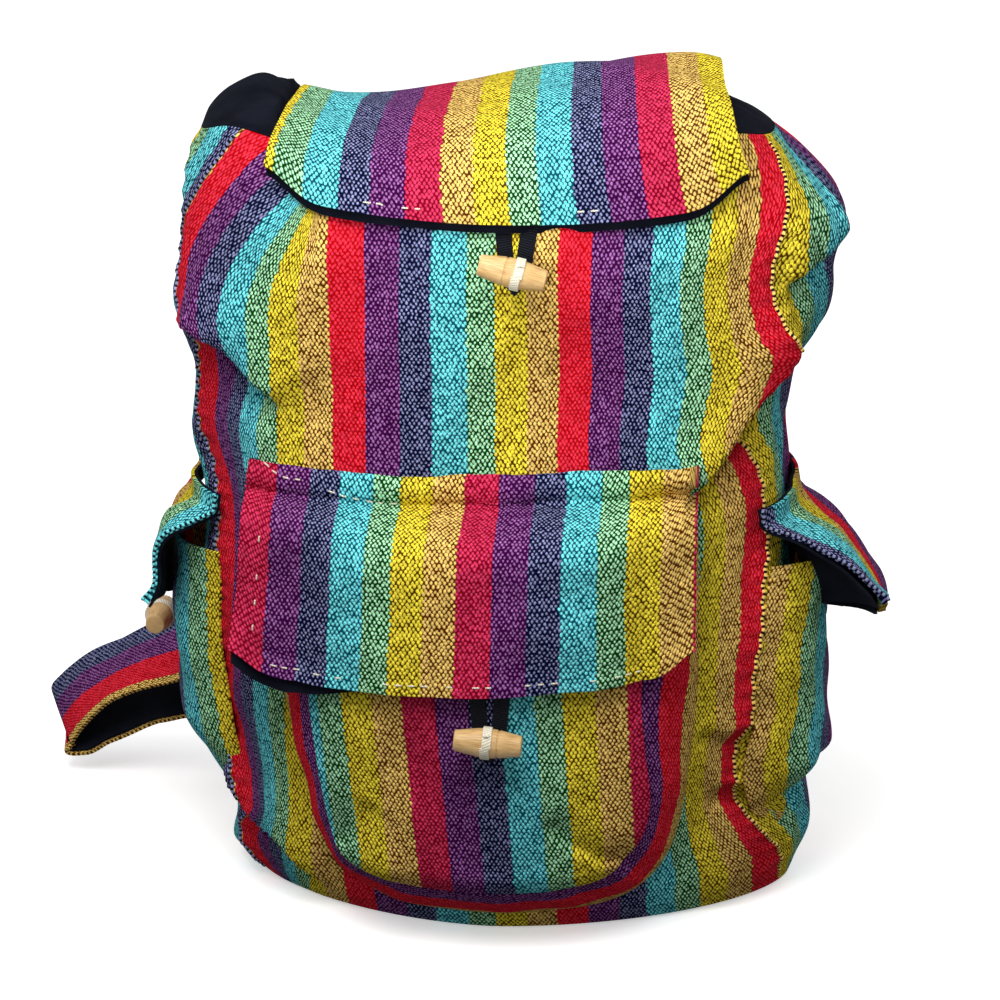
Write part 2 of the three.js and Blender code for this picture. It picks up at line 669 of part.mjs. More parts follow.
// The toggle's axis is the holder's y axis, and the holder's z axis points out of the cloth
function addToggle(name, seat, outward, axis, shankLength) {
  const holder = new THREE.Group();
  const aside = new THREE.Vector3().crossVectors(axis, outward);
  const reach = SEAT_GAP + shankLength + SEAM_GAP + THREAD_OUTER;
  holder.quaternion.setFromRotationMatrix(new THREE.Matrix4().makeBasis(aside, axis, outward));
  holder.position.copy(seat).addScaledVector(outward, reach);
  const shank = new THREE.CylinderGeometry(SHANK_DIAMETER / 2, SHANK_DIAMETER / 2, shankLength, 8);
  shank.rotateX(Math.PI / 2);
  shank.translate(0, 0, -(THREAD_OUTER + SEAM_GAP + shankLength / 2));
  holder.add(addPart(name, makeBarrel(), BAMBOO, 0.5));
  holder.add(addPart(`${name}_thread`, makeThread(), WHITE_THREAD));
  holder.add(addPart(`${name}_shank`, shank, WHITE_THREAD));
  bag.add(holder);
}

function leaningAxis(degrees) {
  return new THREE.Vector3(Math.cos(radians(degrees)), 0, Math.sin(radians(degrees)));
}

const FRONT = new THREE.Vector3(0, -1, 0);
const topToggleHeight = flapHemHeight - TOP_TOGGLE.belowHem;
const topSeatY = frontY(TOP_TOGGLE.x, topToggleHeight);
const topSeat = new THREE.Vector3(TOP_TOGGLE.x, topSeatY, topToggleHeight);
addToggle('top_toggle', topSeat, FRONT, leaningAxis(TOP_TOGGLE.tilt), TOP_SHANK);

function pocketFaceY(x, z) {
  return frontY(x, z) - pocketStand(x, z);
}

const pocketToggleHeight = frontFlapHem - POCKET_TOGGLE.belowHem;
const pocketSeatY = pocketFaceY(POCKET_TOGGLE.x, pocketToggleHeight);
const pocketSeat = new THREE.Vector3(POCKET_TOGGLE.x, pocketSeatY, pocketToggleHeight);
addToggle('front_pocket_toggle', pocketSeat, FRONT, leaningAxis(POCKET_TOGGLE.tilt), POCKET_SHANK);

for (const side of SIDES) {
  const height = sideFlapHem - side.toggleBelowHem;
  const stand = sidePocketStand(side, side.toggleY, height);
  const seatX = sideX(side.out, side.toggleY, height) + side.out * stand;
  const seat = new THREE.Vector3(seatX, side.toggleY, height);
  const outward = new THREE.Vector3(side.out, 0, 0);
  addToggle(`${side.name}_side_toggle`, seat, outward, new THREE.Vector3(0, side.out, 0), side.shank);
}

// Tape loop: two legs that meet in a point below the toggle, with the shank between them.
// drop(across, down) gives the tape's outer face at a distance across and down from its top middle
function makeLoop(drop, length) {
  const outer = TAPE_SPREAD + TAPE_WIDTH / 2;
  const inner = TAPE_SPREAD - TAPE_WIDTH / 2;
  const mitre = TAPE_WIDTH * Math.SQRT2;
  const knots = [0, 0.4, 0.5, 0.6, 1];
  const outerAcross = [-outer, -outer, 0, outer, outer];
  const outerDown = [0, length - outer, length, length - outer, 0];
  const innerAcross = [-inner, -inner, 0, inner, inner];
  const innerDown = [0, length - mitre - inner, length - mitre, length - mitre - inner, 0];
  const alongKnots = (values, at) => {
    const last = knots.findIndex((knot) => knot >= at - 1e-9);
    const next = Math.max(last, 1);
    const share = (at - knots[next - 1]) / (knots[next] - knots[next - 1]);
    return lerp(values[next - 1], values[next], share);
  };
  const surface = (u, v) => {
    const across = lerp(alongKnots(outerAcross, u), alongKnots(innerAcross, u), v);
    const down = lerp(alongKnots(outerDown, u), alongKnots(innerDown, u), v);
    return drop(across, down);
  };
  return cloth(surface, 10, 1, TAPE_THICKNESS);
}

function addLoop(name, top, toggleHeight, place) {
  const length = top - toggleHeight + TAPE_BELOW_TOGGLE;
  addPart(name, makeLoop((across, down) => place(across, top - down), length), BLACK_COTTON);
}

const tapeStand = SEAT_GAP + TAPE_THICKNESS;
addLoop('top_flap_loop', flapHemHeight + TAPE_TUCK, topToggleHeight, (across, z) => {
  const x = TOP_TOGGLE.x + across;
  return new THREE.Vector3(x, frontY(x, z) - tapeStand, z);
});
addLoop('front_pocket_loop', frontFlapHem + TAPE_TUCK, pocketToggleHeight, (across, z) => {
  const x = POCKET_TOGGLE.x + across;
  return new THREE.Vector3(x, pocketFaceY(x, z) - tapeStand, z);
});
for (const side of SIDES) {
  const top = sideFlapHem + side.loopAboveHem;
  const toggleHeight = sideFlapHem - side.toggleBelowHem;
  const topX = side.out * (BODY_WIDTH / 2 + side.loopReach);
  addLoop(`${side.name}_side_loop`, top, toggleHeight, (across, z) => {
    const y = side.toggleY + side.out * across;
    const onPocket = sideX(side.out, y, z) + side.out * (sidePocketStand(side, y, z) + tapeStand);
    const x = lerp(onPocket, topX, smooth(z, toggleHeight + TAPE_ON_POCKET, top));
    return new THREE.Vector3(x, y, z);
  });
}

// Shoulder straps: a striped band and its lining, from the top of the back to a lower back seam.
// Each stop gives the middle of the outer face and the direction across the band. The seam leans out,
// so it is the upper corner of the band's end that meets it
function strapSurface(stops) {
  const middle = new THREE.CatmullRomCurve3(stops.map((stop) => stop.at));
  return (u, v) => {
    const place = v * (stops.length - 1);
    const before = Math.min(Math.floor(place), stops.length - 2);
    const wide = new THREE.Vector3().lerpVectors(stops[before].wide, stops[before + 1].wide, place - before);
    const along = middle.getTangent(v);
    wide.addScaledVector(along, -wide.dot(along)).normalize();
    return middle.getPoint(v).addScaledVector(wide, (u - 0.5) * STRAP_WIDTH);
  };
}

function strapUnder(surface) {
  const step = 1e-3;
  return (u, v) => {
    const low = clamp(v - step, 0, 1);
    const high = clamp(v + step, 0, 1);
    const alongU = surface(1, v).sub(surface(0, v));
    const alongV = surface(u, high).sub(surface(u, low));
    const normal = alongU.cross(alongV).normalize();
    return surface(u, v).addScaledVector(normal, -(STRAP_CLOTH + SEAM_GAP));
  };
}

function addStrap(name, side, free) {
  const stack = STRAP_CLOTH + SEAM_GAP + STRAP_LINING + SEAT_GAP;
  const topX = side * STRAP_TOP_SPACING / 2;
  const topY = backY(0, BODY_HEIGHT * FULLEST_BACK) + stack;
  const topHeight = BODY_HEIGHT - STRAP_TOP_BELOW_RIM;
  const seamAngle = radians(side < 0 ? SEAM_BACK_LEFT : SEAM_BACK_RIGHT);
  const seam = bodyPoint(seamAngle, STRAP_END_HEIGHT + STRAP_WIDTH / 2);
  const outward = bodyPoint(seamAngle + 1e-3, seam.z).sub(seam).normalize();
  outward.set(outward.y, -outward.x, 0);
  seam.z = STRAP_END_HEIGHT;
  const stop = (at, wide) => ({ at, wide: new THREE.Vector3(...wide) });
  const fromSeam = (reach) => seam.clone().addScaledVector(outward, reach);
  const slack = ([past, behind, z, ...wide]) => {
    const x = side * (BODY_WIDTH / 2 + past);
    return stop(new THREE.Vector3(x, BACK_DEPTH + behind, z), wide);
  };
  const stops = [
    stop(new THREE.Vector3(topX, topY, topHeight), [1, 0, 0]),
    stop(new THREE.Vector3(topX, topY + SEAT_GAP, topHeight - STRAP_SEWN), [1, 0, 0]),
    ...free.map(slack),
    stop(fromSeam(STRAP_END_RUN), [0, 0.3, -side]),
    stop(fromSeam(FLANGE_GAP), [0, 0, -side]),
  ];
  const surface = strapSurface(stops);
  const steps = (stops.length - 1) * 2;
  addPart(`${name}_strap`, cloth(surface, 1, steps, STRAP_CLOTH), WARM_STRIPE);
  addPart(`${name}_strap_lining`, cloth(strapUnder(surface), 1, steps, STRAP_LINING), BLACK_COTTON);
}

addStrap('left', -1, LEFT_STRAP_STOPS);
addStrap('right', 1, RIGHT_STRAP_STOPS);

export default bag;
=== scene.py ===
"""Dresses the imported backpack: woven striped cotton, black lining, tape loops and bamboo toggles."""

import math

import bpy
import numpy as np
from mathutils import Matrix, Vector


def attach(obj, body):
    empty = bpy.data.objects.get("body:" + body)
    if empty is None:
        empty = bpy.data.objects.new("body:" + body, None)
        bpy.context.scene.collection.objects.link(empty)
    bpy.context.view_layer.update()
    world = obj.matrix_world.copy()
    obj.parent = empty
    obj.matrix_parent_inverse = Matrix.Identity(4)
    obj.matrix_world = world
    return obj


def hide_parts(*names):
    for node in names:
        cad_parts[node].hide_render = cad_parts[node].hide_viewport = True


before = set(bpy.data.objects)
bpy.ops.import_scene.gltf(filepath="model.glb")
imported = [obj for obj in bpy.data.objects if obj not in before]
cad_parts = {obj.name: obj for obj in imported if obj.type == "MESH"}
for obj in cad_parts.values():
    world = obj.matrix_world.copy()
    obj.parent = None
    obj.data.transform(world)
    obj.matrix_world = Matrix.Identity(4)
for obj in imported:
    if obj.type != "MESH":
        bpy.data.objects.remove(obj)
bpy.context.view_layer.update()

MM = 0.001
TURN = 2 * math.pi
RNG_SEED = 7

# Main bag, in millimetres, as the solids have it
BODY_HEIGHT = 366.0
BODY_WIDTH = 296.0
FRONT_DEPTH = 88.0
BACK_DEPTH = 73.0
CLOTH = 1.6
LINING = 1.2

# Share of the height, then the left, right, front and back reach as shares of their sizes, and how square
# the outline is there
BODY_LEVELS = [
    [0.0, 0.84, 0.95, 0.93, 0.85, 1.7],
    [0.03, 0.9, 0.98, 1.02, 0.93, 1.75],
    [0.08, 0.895, 1.0, 1.02, 0.97, 2.0],
    [0.19, 0.92, 0.975, 1.0, 0.99, 2.6],
    [0.33, 0.945, 0.955, 1.0, 1.0, 3],
    [0.49, 0.955, 0.93, 0.99, 0.99, 3],
    [0.56, 0.975, 0.912, 0.97, 0.98, 3],
    [0.64, 1.0, 0.905, 0.955, 0.97, 3],
    [0.72, 0.995, 0.925, 0.955, 0.96, 3],
    [0.79, 1.07, 1.0, 0.99, 0.97, 3],
    [0.86, 1.04, 1.035, 1.01, 0.995, 3],
    [0.915, 1.02, 1.06, 0.985, 0.97, 3],
    [0.96, 1.0, 0.965, 0.9, 0.9, 2.7],
    [1.0, 0.965, 0.85, 0.77, 0.78, 2.3],
]
SECTION_SIZES = np.array([BODY_WIDTH / 2, BODY_WIDTH / 2, FRONT_DEPTH, BACK_DEPTH, 1])

# Shoulders: how far they are pulled up by their distance from the side of the bag, and over what depth
LEFT_SHOULDER = [[0, 5], [18, 12], [41, 9.5], [60, 3.5], [78, 0]]
RIGHT_SHOULDER = [[0, 8], [20, 13], [42, 4], [58, 0]]
SHOULDER_DEPTH = 66.0

# The front panel's seams: height, then the distance round the bag from its front middle
LEFT_SEAM = [
    [0, -130], [10, -138], [22, -146], [34, -142], [48, -130], [62, -133], [85, -140], [104, -146],
    [150, -141], [190, -142], [215, -147], [240, -153], [262, -149], [280, -152], [300, -164],
    [325, -174], [366, -172],
]
RIGHT_SEAM = [
    [0, 158], [24, 152], [40, 138], [54, 127], [66, 122], [84, 120], [104, 126], [128, 126], [148, 130],
    [170, 134], [188, 140], [206, 139], [218, 136], [230, 130], [244, 122], [262, 134], [278, 145],
    [294, 137], [320, 132], [344, 140], [366, 136],
]

# The front panel's edges before its seams pull at them, and how far in that pull reaches
FRONT_LEFT = -178.0
FRONT_RIGHT = 140.0
LEFT_PULL = 50.0
RIGHT_PULL = 35.0

# How far the front's warp lines lie to the right of even spacing, by their distance from the left seam
FRONT_DRIFT = [[0, 0], [50, 0.4], [101, 2.2], [150, 5.4], [204, 7.0], [262, 4.6], [305, 0.6], [325, 0]]

# The front cloth's gather towards the flap's left corner: reach, slope and the heights where it starts
GATHER_REACH = 100.0
GATHER_SLOPE = 1.2
GATHER_START = 310.0
GATHER_CORNER = 14.0
GATHER_EASE = 6.0


def smooth(value, low, high):
    share = np.clip((np.asarray(value, float) - low) / (high - low), 0, 1)
    return share * share * (3 - 2 * share)


def mix(a, b, share):
    return a + (b - a) * share


def unit(vectors):
    return vectors / np.maximum(np.linalg.norm(vectors, axis=-1, keepdims=True), 1e-9)


def together(*values):
    """The values as arrays of one shape."""
    return np.broadcast_arrays(*(np.asarray(value, float) for value in values))


def hermite(start, stop, leave, arrive, t):
    """Smooth way from start to stop, with the slopes at which it leaves and arrives."""
    return mix(start, stop, t * t * (3 - 2 * t)) + t * (1 - t) ** 2 * leave + t * t * (t - 1) * arrive


def table(rows, at):
    """Smooth interpolation of a table whose first column rises; gives the other columns."""
    rows = np.asarray(rows, float)
    knots, values = rows[:, 0], rows[:, 1:]
    last = len(knots) - 1
    before = np.maximum(np.arange(last + 1) - 1, 0)
    after = np.minimum(np.arange(last + 1) + 1, last)
    slopes = (values[after] - values[before]) / (knots[after] - knots[before])[:, None]
    at = np.asarray(at, float)
    row = np.clip(np.searchsorted(knots, at, side="right") - 1, 0, last - 1)
    span = (knots[row + 1] - knots[row])[..., None]
    t = np.clip((at - knots[row])[..., None] / span, 0, 1)
    return hermite(values[row], values[row + 1], span * slopes[row], span * slopes[row + 1], t)


def curve(rows, at):
    """A table's second column."""
    return table(rows, at)[..., 0]


def spline_knots(stops):
    """Share of the way at which a spline passes each of its stops."""
    steps = np.sqrt(np.linalg.norm(np.diff(stops, axis=0), axis=-1))
    steps = steps.reshape(len(steps), -1).mean(1)
    return np.concatenate([[0], np.cumsum(steps)]) / steps.sum()


def spline(stops, v):
    """Points at the shares v along a smooth curve through the stops, one curve per column."""
    stops = np.asarray(stops, float)
    knots = spline_knots(stops)
    by_stop = (-1,) + (1,) * (stops.ndim - 1)
    gaps = np.diff(knots).reshape(by_stop)
    slopes = np.diff(stops, axis=0) / gaps
    inner = (slopes[:-1] * gaps[1:] + slopes[1:] * gaps[:-1]) / (gaps[:-1] + gaps[1:])
    slopes = np.concatenate([slopes[:1], inner, slopes[-1:]])
    row = np.clip(np.searchsorted(knots, v, side="right") - 1, 0, len(knots) - 2)
    t = ((v - knots[row]) / np.diff(knots)[row]).reshape(by_stop)
    return hermite(stops[row], stops[row + 1], gaps[row] * slopes[row], gaps[row] * slopes[row + 1], t)


def waves(a, b, size, seed, count=14):
    """Smooth random waves of about that size over two coordinates, between about -1 and 1."""
    rng = np.random.default_rng(RNG_SEED + seed)
    total = np.zeros(np.broadcast(a, b).shape)
    for _ in range(count):
        turn, phase = rng.uniform(0, TURN, 2)
        length = size * rng.uniform(0.6, 1.7)
        total += np.sin((a * math.cos(turn) + b * math.sin(turn)) * TURN / length + phase)
    return total / math.sqrt(count)


# Main bag: its loft, and the folds that stand on it

def section(z):
    """Left, right, front and back reach at a height, and how square the outline is."""
    levels = table(BODY_LEVELS, np.clip(np.asarray(z, float) / BODY_HEIGHT, 0, 1)) * SECTION_SIZES
    return np.moveaxis(levels, -1, 0)


def outline_at(angle, z):
    """x and y of the bag at a height, at an angle of its section."""
    left, right, front, back, squareness = section(z)
    across, along = np.cos(angle), np.sin(angle)
    power = 2 / squareness
    x = np.sign(across) * np.abs(across) ** power * np.where(across < 0, left, right)
    y = np.sign(along) * np.abs(along) ** power * np.where(along < 0, front, back)
    return np.stack([x, y], -1)


def shoulder(x, z):
    """How far the shoulders are pulled up at a point."""
    left, right = section(z)[:2]
    lift = curve(LEFT_SHOULDER, left + x) + curve(RIGHT_SHOULDER, right - x)
    return lift * smooth(z, BODY_HEIGHT - SHOULDER_DEPTH, BODY_HEIGHT)


# The loft as a lookup by height and by distance round the bag from its front middle
RING_ANGLES = np.radians(np.linspace(90, 450, 1441))
RING_FRONT = 720
LOFT_HEIGHTS = np.linspace(0, BODY_HEIGHT, 245)
LOFT_ARCS = np.linspace(-405, 405, 811)
LOFT = np.empty((len(LOFT_HEIGHTS), len(LOFT_ARCS), 2))
SEAM_ANGLES = {"left": math.radians(142), "right": math.radians(398)}
SEAM_ARCS = {name: [] for name in SEAM_ANGLES}
PERIMETERS = []
for level, height in enumerate(LOFT_HEIGHTS):
    ring = outline_at(RING_ANGLES, height)
    ring_arc = np.concatenate([[0], np.cumsum(np.linalg.norm(np.diff(ring, axis=0), axis=1))])
    PERIMETERS.append(ring_arc[-1])
    ring_arc -= ring_arc[RING_FRONT]
    for axis in (0, 1):
        LOFT[level, :, axis] = np.interp(LOFT_ARCS, ring_arc, ring[:, axis])
    for seam, angle in SEAM_ANGLES.items():
        SEAM_ARCS[seam].append(np.interp(angle, RING_ANGLES, ring_arc))


def back_seam(side, z):
    return np.interp(z, LOFT_HEIGHTS, SEAM_ARCS[side])


def loft(s, z):
    """x and y of the bag at a distance round it and a height."""
    s, z = together(s, z)
    row = np.clip(z / BODY_HEIGHT, 0, 1) * (len(LOFT_HEIGHTS) - 1)
    column = np.clip((s - LOFT_ARCS[0]) / (LOFT_ARCS[1] - LOFT_ARCS[0]), 0, len(LOFT_ARCS) - 1)
    i = np.minimum(row.astype(int), len(LOFT_HEIGHTS) - 2)
    j = np.minimum(column.astype(int), len(LOFT_ARCS) - 2)
    up, right = (row - i)[..., None], (column - j)[..., None]
    lower = mix(LOFT[i, j], LOFT[i, j + 1], right)
    upper = mix(LOFT[i + 1, j], LOFT[i + 1, j + 1], right)
    return mix(lower, upper, up)


def outward(s, z):
    """Direction square to the bag's outline, as x and y."""
    step = 1.5
    along = loft(s + step, z) - loft(s - step, z)
    return unit(np.stack([along[..., 1], -along[..., 0]], -1))


# Folds of the filled cloth: the line of each on the bag, as distance round it and height. The cloth on the
# left of the line's direction stands over the cloth on the right. Then come the height and the width of the
# cloth above the line, the depth and the width of the cloth below it, and how soft the step between them is
FOLDS = [
    ([(88, 210), (95, 220), (101, 227), (110, 240), (115, 248), (122, 257), (133, 266), (147, 282),
      (156, 292)], (10, 24), (14, 18), 1.6),
    ([(-164, 292), (-143, 287), (-126, 281), (-118, 273), (-106, 262), (-97, 252)], (7, 20), (9, 16), 2.5),
    ([(-156, 66), (-138, 54), (-122, 42), (-105, 30), (-83, 8)], (10, 22), (7, 14), 2.2),
    ([(138, 311), (150, 315), (166, 319), (183, 325), (196, 332)], (4, 14), (7, 13), 2.5),
    ([(104, 66), (120, 67), (142, 62), (168, 58)], (2, 14), (6, 12), 6.0),
    ([(98, 104), (112, 96), (128, 98)], (3, 12), (4, 10), 6.0),
]
FOLD_FADE = 0.2

# Waves of the cloth: how far they stand out, about how long they are, and how they are drawn out in height
SLOW_WAVES = (2.2, 70, 0.6)
QUICK_WAVES = (1.0, 26, 0.5)

# The waves start above the base, end below the rim, and are held down behind the front pocket
WAVES_FROM = (2, 14)
WAVES_END = 10
BESIDE_POCKET = (84, 110)
ABOVE_POCKET = (205, 235)
HELD_DOWN = 0.35

# Puckers along the front panel's seams, and how much and over what length their pace changes
PUCKER_HEIGHT = 0.7
PUCKER_LENGTH = 8.5
PUCKER_REACH = 9.0
PUCKER_PACE = (1.5, 60)


def fold_relief(s, z, fold):
    """How far one fold raises or lowers the cloth."""
    line, (over, over_width), (under, under_width), edge = fold
    line = np.array(line, float)
    nearest = np.full(s.shape, 1e9)
    signed = np.zeros(s.shape)
    share = np.zeros(s.shape)
    for k, (start, run) in enumerate(zip(line, np.diff(line, axis=0))):
        t = np.clip(((s - start[0]) * run[0] + (z - start[1]) * run[1]) / (run @ run), 0, 1)
        off_s, off_z = s - start[0] - t * run[0], z - start[1] - t * run[1]
        away = np.hypot(off_s, off_z)
        side = np.sign(run[0] * off_z - run[1] * off_s)
        closer = away < nearest
        nearest = np.where(closer, away, nearest)
        signed = np.where(closer, away * side, signed)
        share = np.where(closer, (k + t) / (len(line) - 1), share)
    high = over * np.exp(-(nearest / over_width) ** 2)
    low = -under * np.exp(-(nearest / under_width) ** 2)
    fade = smooth(share, 0, FOLD_FADE) * (1 - smooth(share, 1 - FOLD_FADE, 1))
    return mix(low, high, smooth(signed, -edge, edge)) * fade


def relief(s, z):
    """How far the cloth stands out from the loft."""
    inside = smooth(z, *WAVES_FROM) * (1 - smooth(z, BODY_HEIGHT - WAVES_END, BODY_HEIGHT))
    off_pocket = smooth(np.abs(s), *BESIDE_POCKET) + smooth(z, *ABOVE_POCKET)
    calm = np.clip(HELD_DOWN + off_pocket, 0, 1)
    wavy = 0
    for seed, (height, size, drawn) in enumerate((SLOW_WAVES, QUICK_WAVES), 1):
        wavy = wavy + height * waves(s, drawn * z, size, seed)
    pace, pace_size = PUCKER_PACE
    pucker = PUCKER_HEIGHT * np.sin(TURN * z / PUCKER_LENGTH + pace * waves(z, 0 * z, pace_size, seed=3))
    for seam_table in (LEFT_SEAM, RIGHT_SEAM):
        wavy = wavy + pucker * np.exp(-((s - curve(seam_table, z)) / PUCKER_REACH) ** 2)
    return sum(fold_relief(s, z, fold) for fold in FOLDS) + inside * calm * wavy


def loft_point(s, z, stand):
    """Point that stands off the loft, square to its outline."""
    flat = loft(s, z) + outward(s, z) * stand[..., None]
    return np.concatenate([flat, (z + shoulder(flat[..., 0], z))[..., None]], -1)


def bag_point(s, z, lift=0.0):
    """Point of the bag's outer cloth, lifted square to its outline."""
    s, z = together(s, z)
    return loft_point(s, z, relief(s, z) + lift)


def front_y(x, z):
    """y of the bag's front; the loop finds the distance round the bag at x."""
    s = x + 0 * z
    for _ in range(6):
        s = s + (x - loft(s, z)[..., 0])
    return bag_point(s, z)[..., 1]


# Meshes

def grid(columns, rows):
    """Shares across and along a grid."""
    return np.linspace(0, 1, columns + 1), np.linspace(0, 1, rows + 1)


def grid_normals(points, wrap=False):
    padded_points = np.concatenate([points[:, -2:-1], points, points[:, 1:2]], 1) if wrap else points
    along_u = np.gradient(padded_points, axis=1)
    along_u = along_u[:, 1:-1] if wrap else along_u
    return unit(np.cross(along_u, np.gradient(points, axis=0)))


def lengths(points):
    """Distance along each column of a grid from its first row."""
    steps = np.linalg.norm(np.diff(points, axis=0), axis=-1)
    return np.concatenate([np.zeros((1,) + steps.shape[1:]), np.cumsum(steps, 0)])


def along_line(line, values, at):
    """Values given at a line's points, at other distances along it."""
    return np.stack([np.interp(at, lengths(line), column) for column in values.T], -1)


def resample(line, count):
    return along_line(line, line, np.linspace(0, lengths(line)[-1], count))


def rough(points, height, size, seed):
    """Small random waves square to a grid."""
    wavy = height * waves(points[..., 0] + points[..., 1], points[..., 2], size, seed)
    return points + grid_normals(points) * wavy[..., None]


def cloth_map(across, along):
    return np.stack(np.broadcast_arrays(across, along), -1)


# Share of the bake map that the outer face takes, with a small gap to the inner one
BAKE_SPLIT = 0.86
BAKE_GAP = 0.01

# Angles from which an edge is shaded as sharp
CLOTH_CREASE = 50
SOLID_CREASE = 40


def finish_mesh(name, mesh, material, bake, weave, crease):
    for label, values in (("OFBake", bake), ("Cloth", weave)):
        layer = mesh.uv_layers.new(name=label)
        layer.data.foreach_set("uv", np.asarray(values, np.float32).reshape(-1))
    mesh.polygons.foreach_set("use_smooth", [True] * len(mesh.polygons))
    mesh.set_sharp_from_angle(angle=math.radians(crease))
    mesh.update()
    piece = bpy.data.objects.new(name + "_piece", mesh)
    bpy.context.scene.collection.objects.link(piece)
    piece.data.materials.append(material)
    return piece


def cloth_piece(name, outer, weave, material, thickness=CLOTH, wrap=False):
    """A closed thin cloth below a grid of points; weave gives each point's place in the cloth."""
    rows, columns = outer.shape[:2]
    inner = outer - grid_normals(outer, wrap) * np.broadcast_to(thickness, (rows, columns))[..., None]
    upper = np.arange(rows * columns).reshape(rows, columns)
    lower = upper + upper.size
    vertex = upper.copy()
    if wrap:
        vertex[:, -1] = vertex[:, 0]
    vertex = np.concatenate([vertex.ravel(), vertex.ravel() + upper.size])
    across, along = np.meshgrid(*grid(columns - 1, rows - 1))
    bake = [cloth_map(across, along * BAKE_SPLIT), cloth_map(across, mix(BAKE_SPLIT + BAKE_GAP, 1, along))]

    def quads(ids):
        return np.stack([ids[:-1, :-1], ids[:-1, 1:], ids[1:, 1:], ids[1:, :-1]], -1).reshape(-1, 4)

    edges = [(lower[0], upper[0]), (upper[-1], lower[-1])]
    if not wrap:
        edges += [(upper[:, 0], lower[:, 0]), (lower[:, -1], upper[:, -1])]
    faces = [quads(upper), quads(lower)[:, ::-1]] + [quads(np.stack(edge)) for edge in edges]
    faces = np.concatenate(faces)
    points = np.concatenate([outer.reshape(-1, 3), inner.reshape(-1, 3)]) * MM
    used, corners = np.unique(vertex[faces], return_inverse=True)
    mesh = bpy.data.meshes.new(name)
    mesh.from_pydata(points[used].tolist(), [], corners.reshape(-1, 4).tolist())
    bake = np.reshape(bake, (-1, 2))
    weave = np.concatenate([weave.reshape(-1, 2)] * 2)
    return finish_mesh(name, mesh, material, bake[faces], weave[faces], CLOTH_CREASE)


def solid_piece(name, bodies, material):
    """Closed round bodies; each is a grid whose first and last rows shrink to points."""
    points, faces, bakes, weaves = [], [], [], []
    for number, (body, weave) in enumerate(bodies):
        rows, columns = body.shape[:2]
        between = (rows - 2) * (columns - 1)
        ids = np.zeros((rows, columns), int)
        ids[1:-1, :-1] = 1 + np.arange(between).reshape(rows - 2, columns - 1)
        ids[:, -1] = ids[:, 0]
        ids[-1] = between + 1
        ids += len(points)
        points += [body[0, 0], *body[1:-1, :-1].reshape(-1, 3), body[-1, 0]]
        low, high = number / len(bodies), (number + 1 - 2 * BAKE_GAP) / len(bodies)
        for i in range(rows - 1):
            for j in range(columns - 1):
                corners = [(i, j), (i, j + 1), (i + 1, j + 1), (i + 1, j)]
                if i == 0:
                    corners.pop(1)
                elif i == rows - 2:
                    corners.pop(2)
                faces.append([int(ids[corner]) for corner in corners])
                bakes += [(mix(low, high, a / (rows - 1)), b / (columns - 1)) for a, b in corners]
                weaves += [weave[corner] for corner in corners]
    mesh = bpy.data.meshes.new(name)
    mesh.from_pydata((np.array(points) * MM).tolist(), [], faces)
    return finish_mesh(name, mesh, material, bakes, weaves, SOLID_CREASE)


def turning(axis, outside, turn):
    """Directions round an axis; the first is outside."""
    return np.cross(axis, outside) * np.sin(turn)[:, None] + outside * np.cos(turn)[:, None]


def tube(path, radius, sides=8):
    """A round strand along a path, closed at its ends, with its weave map."""
    along = unit(np.gradient(path, axis=0))
    aside = np.empty_like(path)
    guess = np.array([0, 0, 1.0]) if abs(along[0, 2]) < 0.9 else np.array([1.0, 0, 0])
    for k, heading in enumerate(along):
        guess = unit(guess - heading * (guess @ heading))
        aside[k] = guess
    other = np.cross(along, aside)
    turn = np.linspace(0, TURN, sides + 1)
    around = aside[:, None] * np.cos(turn)[None, :, None] - other[:, None] * np.sin(turn)[None, :, None]
    radii = np.broadcast_to(radius, len(path))[:, None, None]
    start = np.repeat(path[:1, None] - along[:1, None] * radii[:1] * 0.5, sides + 1, 1)
    stop = np.repeat(path[-1:, None] + along[-1:, None] * radii[-1:] * 0.5, sides + 1, 1)
    points = np.concatenate([start, path[:, None] + radii * around, stop])
    middle = np.concatenate([path[:1], path, path[-1:]])
    return points, cloth_map(turn[None] * np.max(radius), lengths(middle)[:, None])


def dress(piece, slot, *nodes, body="bag"):
    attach(piece, body)
    if nodes:
        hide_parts(*nodes)


# The separate pieces sewn to each cloth
TRIMMINGS = {}


def cloth(name, points, weave, material, flat, held, rests_on, thickness=CLOTH, wrap=False):
    """A cloth that stands for its node; flat is the width and length that it was cut to, and is not used.
    """
    piece = cloth_piece(name, points, weave, material, thickness, wrap)
    dress(piece, "black_cotton" if material is BLACK else "striped_cotton", name)
    width, length = flat
    {"piece": piece, "flat": (width * MM, length * MM), "held": held, "rests_on": rests_on}
    TRIMMINGS[name] = []


# Materials

YARN = 1.3
STRIPE_CYCLE = {"yellow": 11, "mustard": 11, "red": 12, "purple": 12, "slate": 11, "cyan": 12, "green": 10}
STRIPE_START = {}
yarns_before = 0
for stripe, yarns in STRIPE_CYCLE.items():
    STRIPE_START[stripe] = YARN * yarns_before
    yarns_before += yarns
STRIPE_PERIOD = YARN * yarns_before

# Spacing of the weave's dots, which lie in brick order, half their size across and along, and how far the
# cloth sways
DOT_ACROSS = 2 * YARN
DOT_ALONG = 4.1
DOT_HALF = (0.88, 1.2)
DOT_SCATTER = 0.32
SWAY = (1.0, 2.4, 0.0)
SWAY_SCALE = 0.09
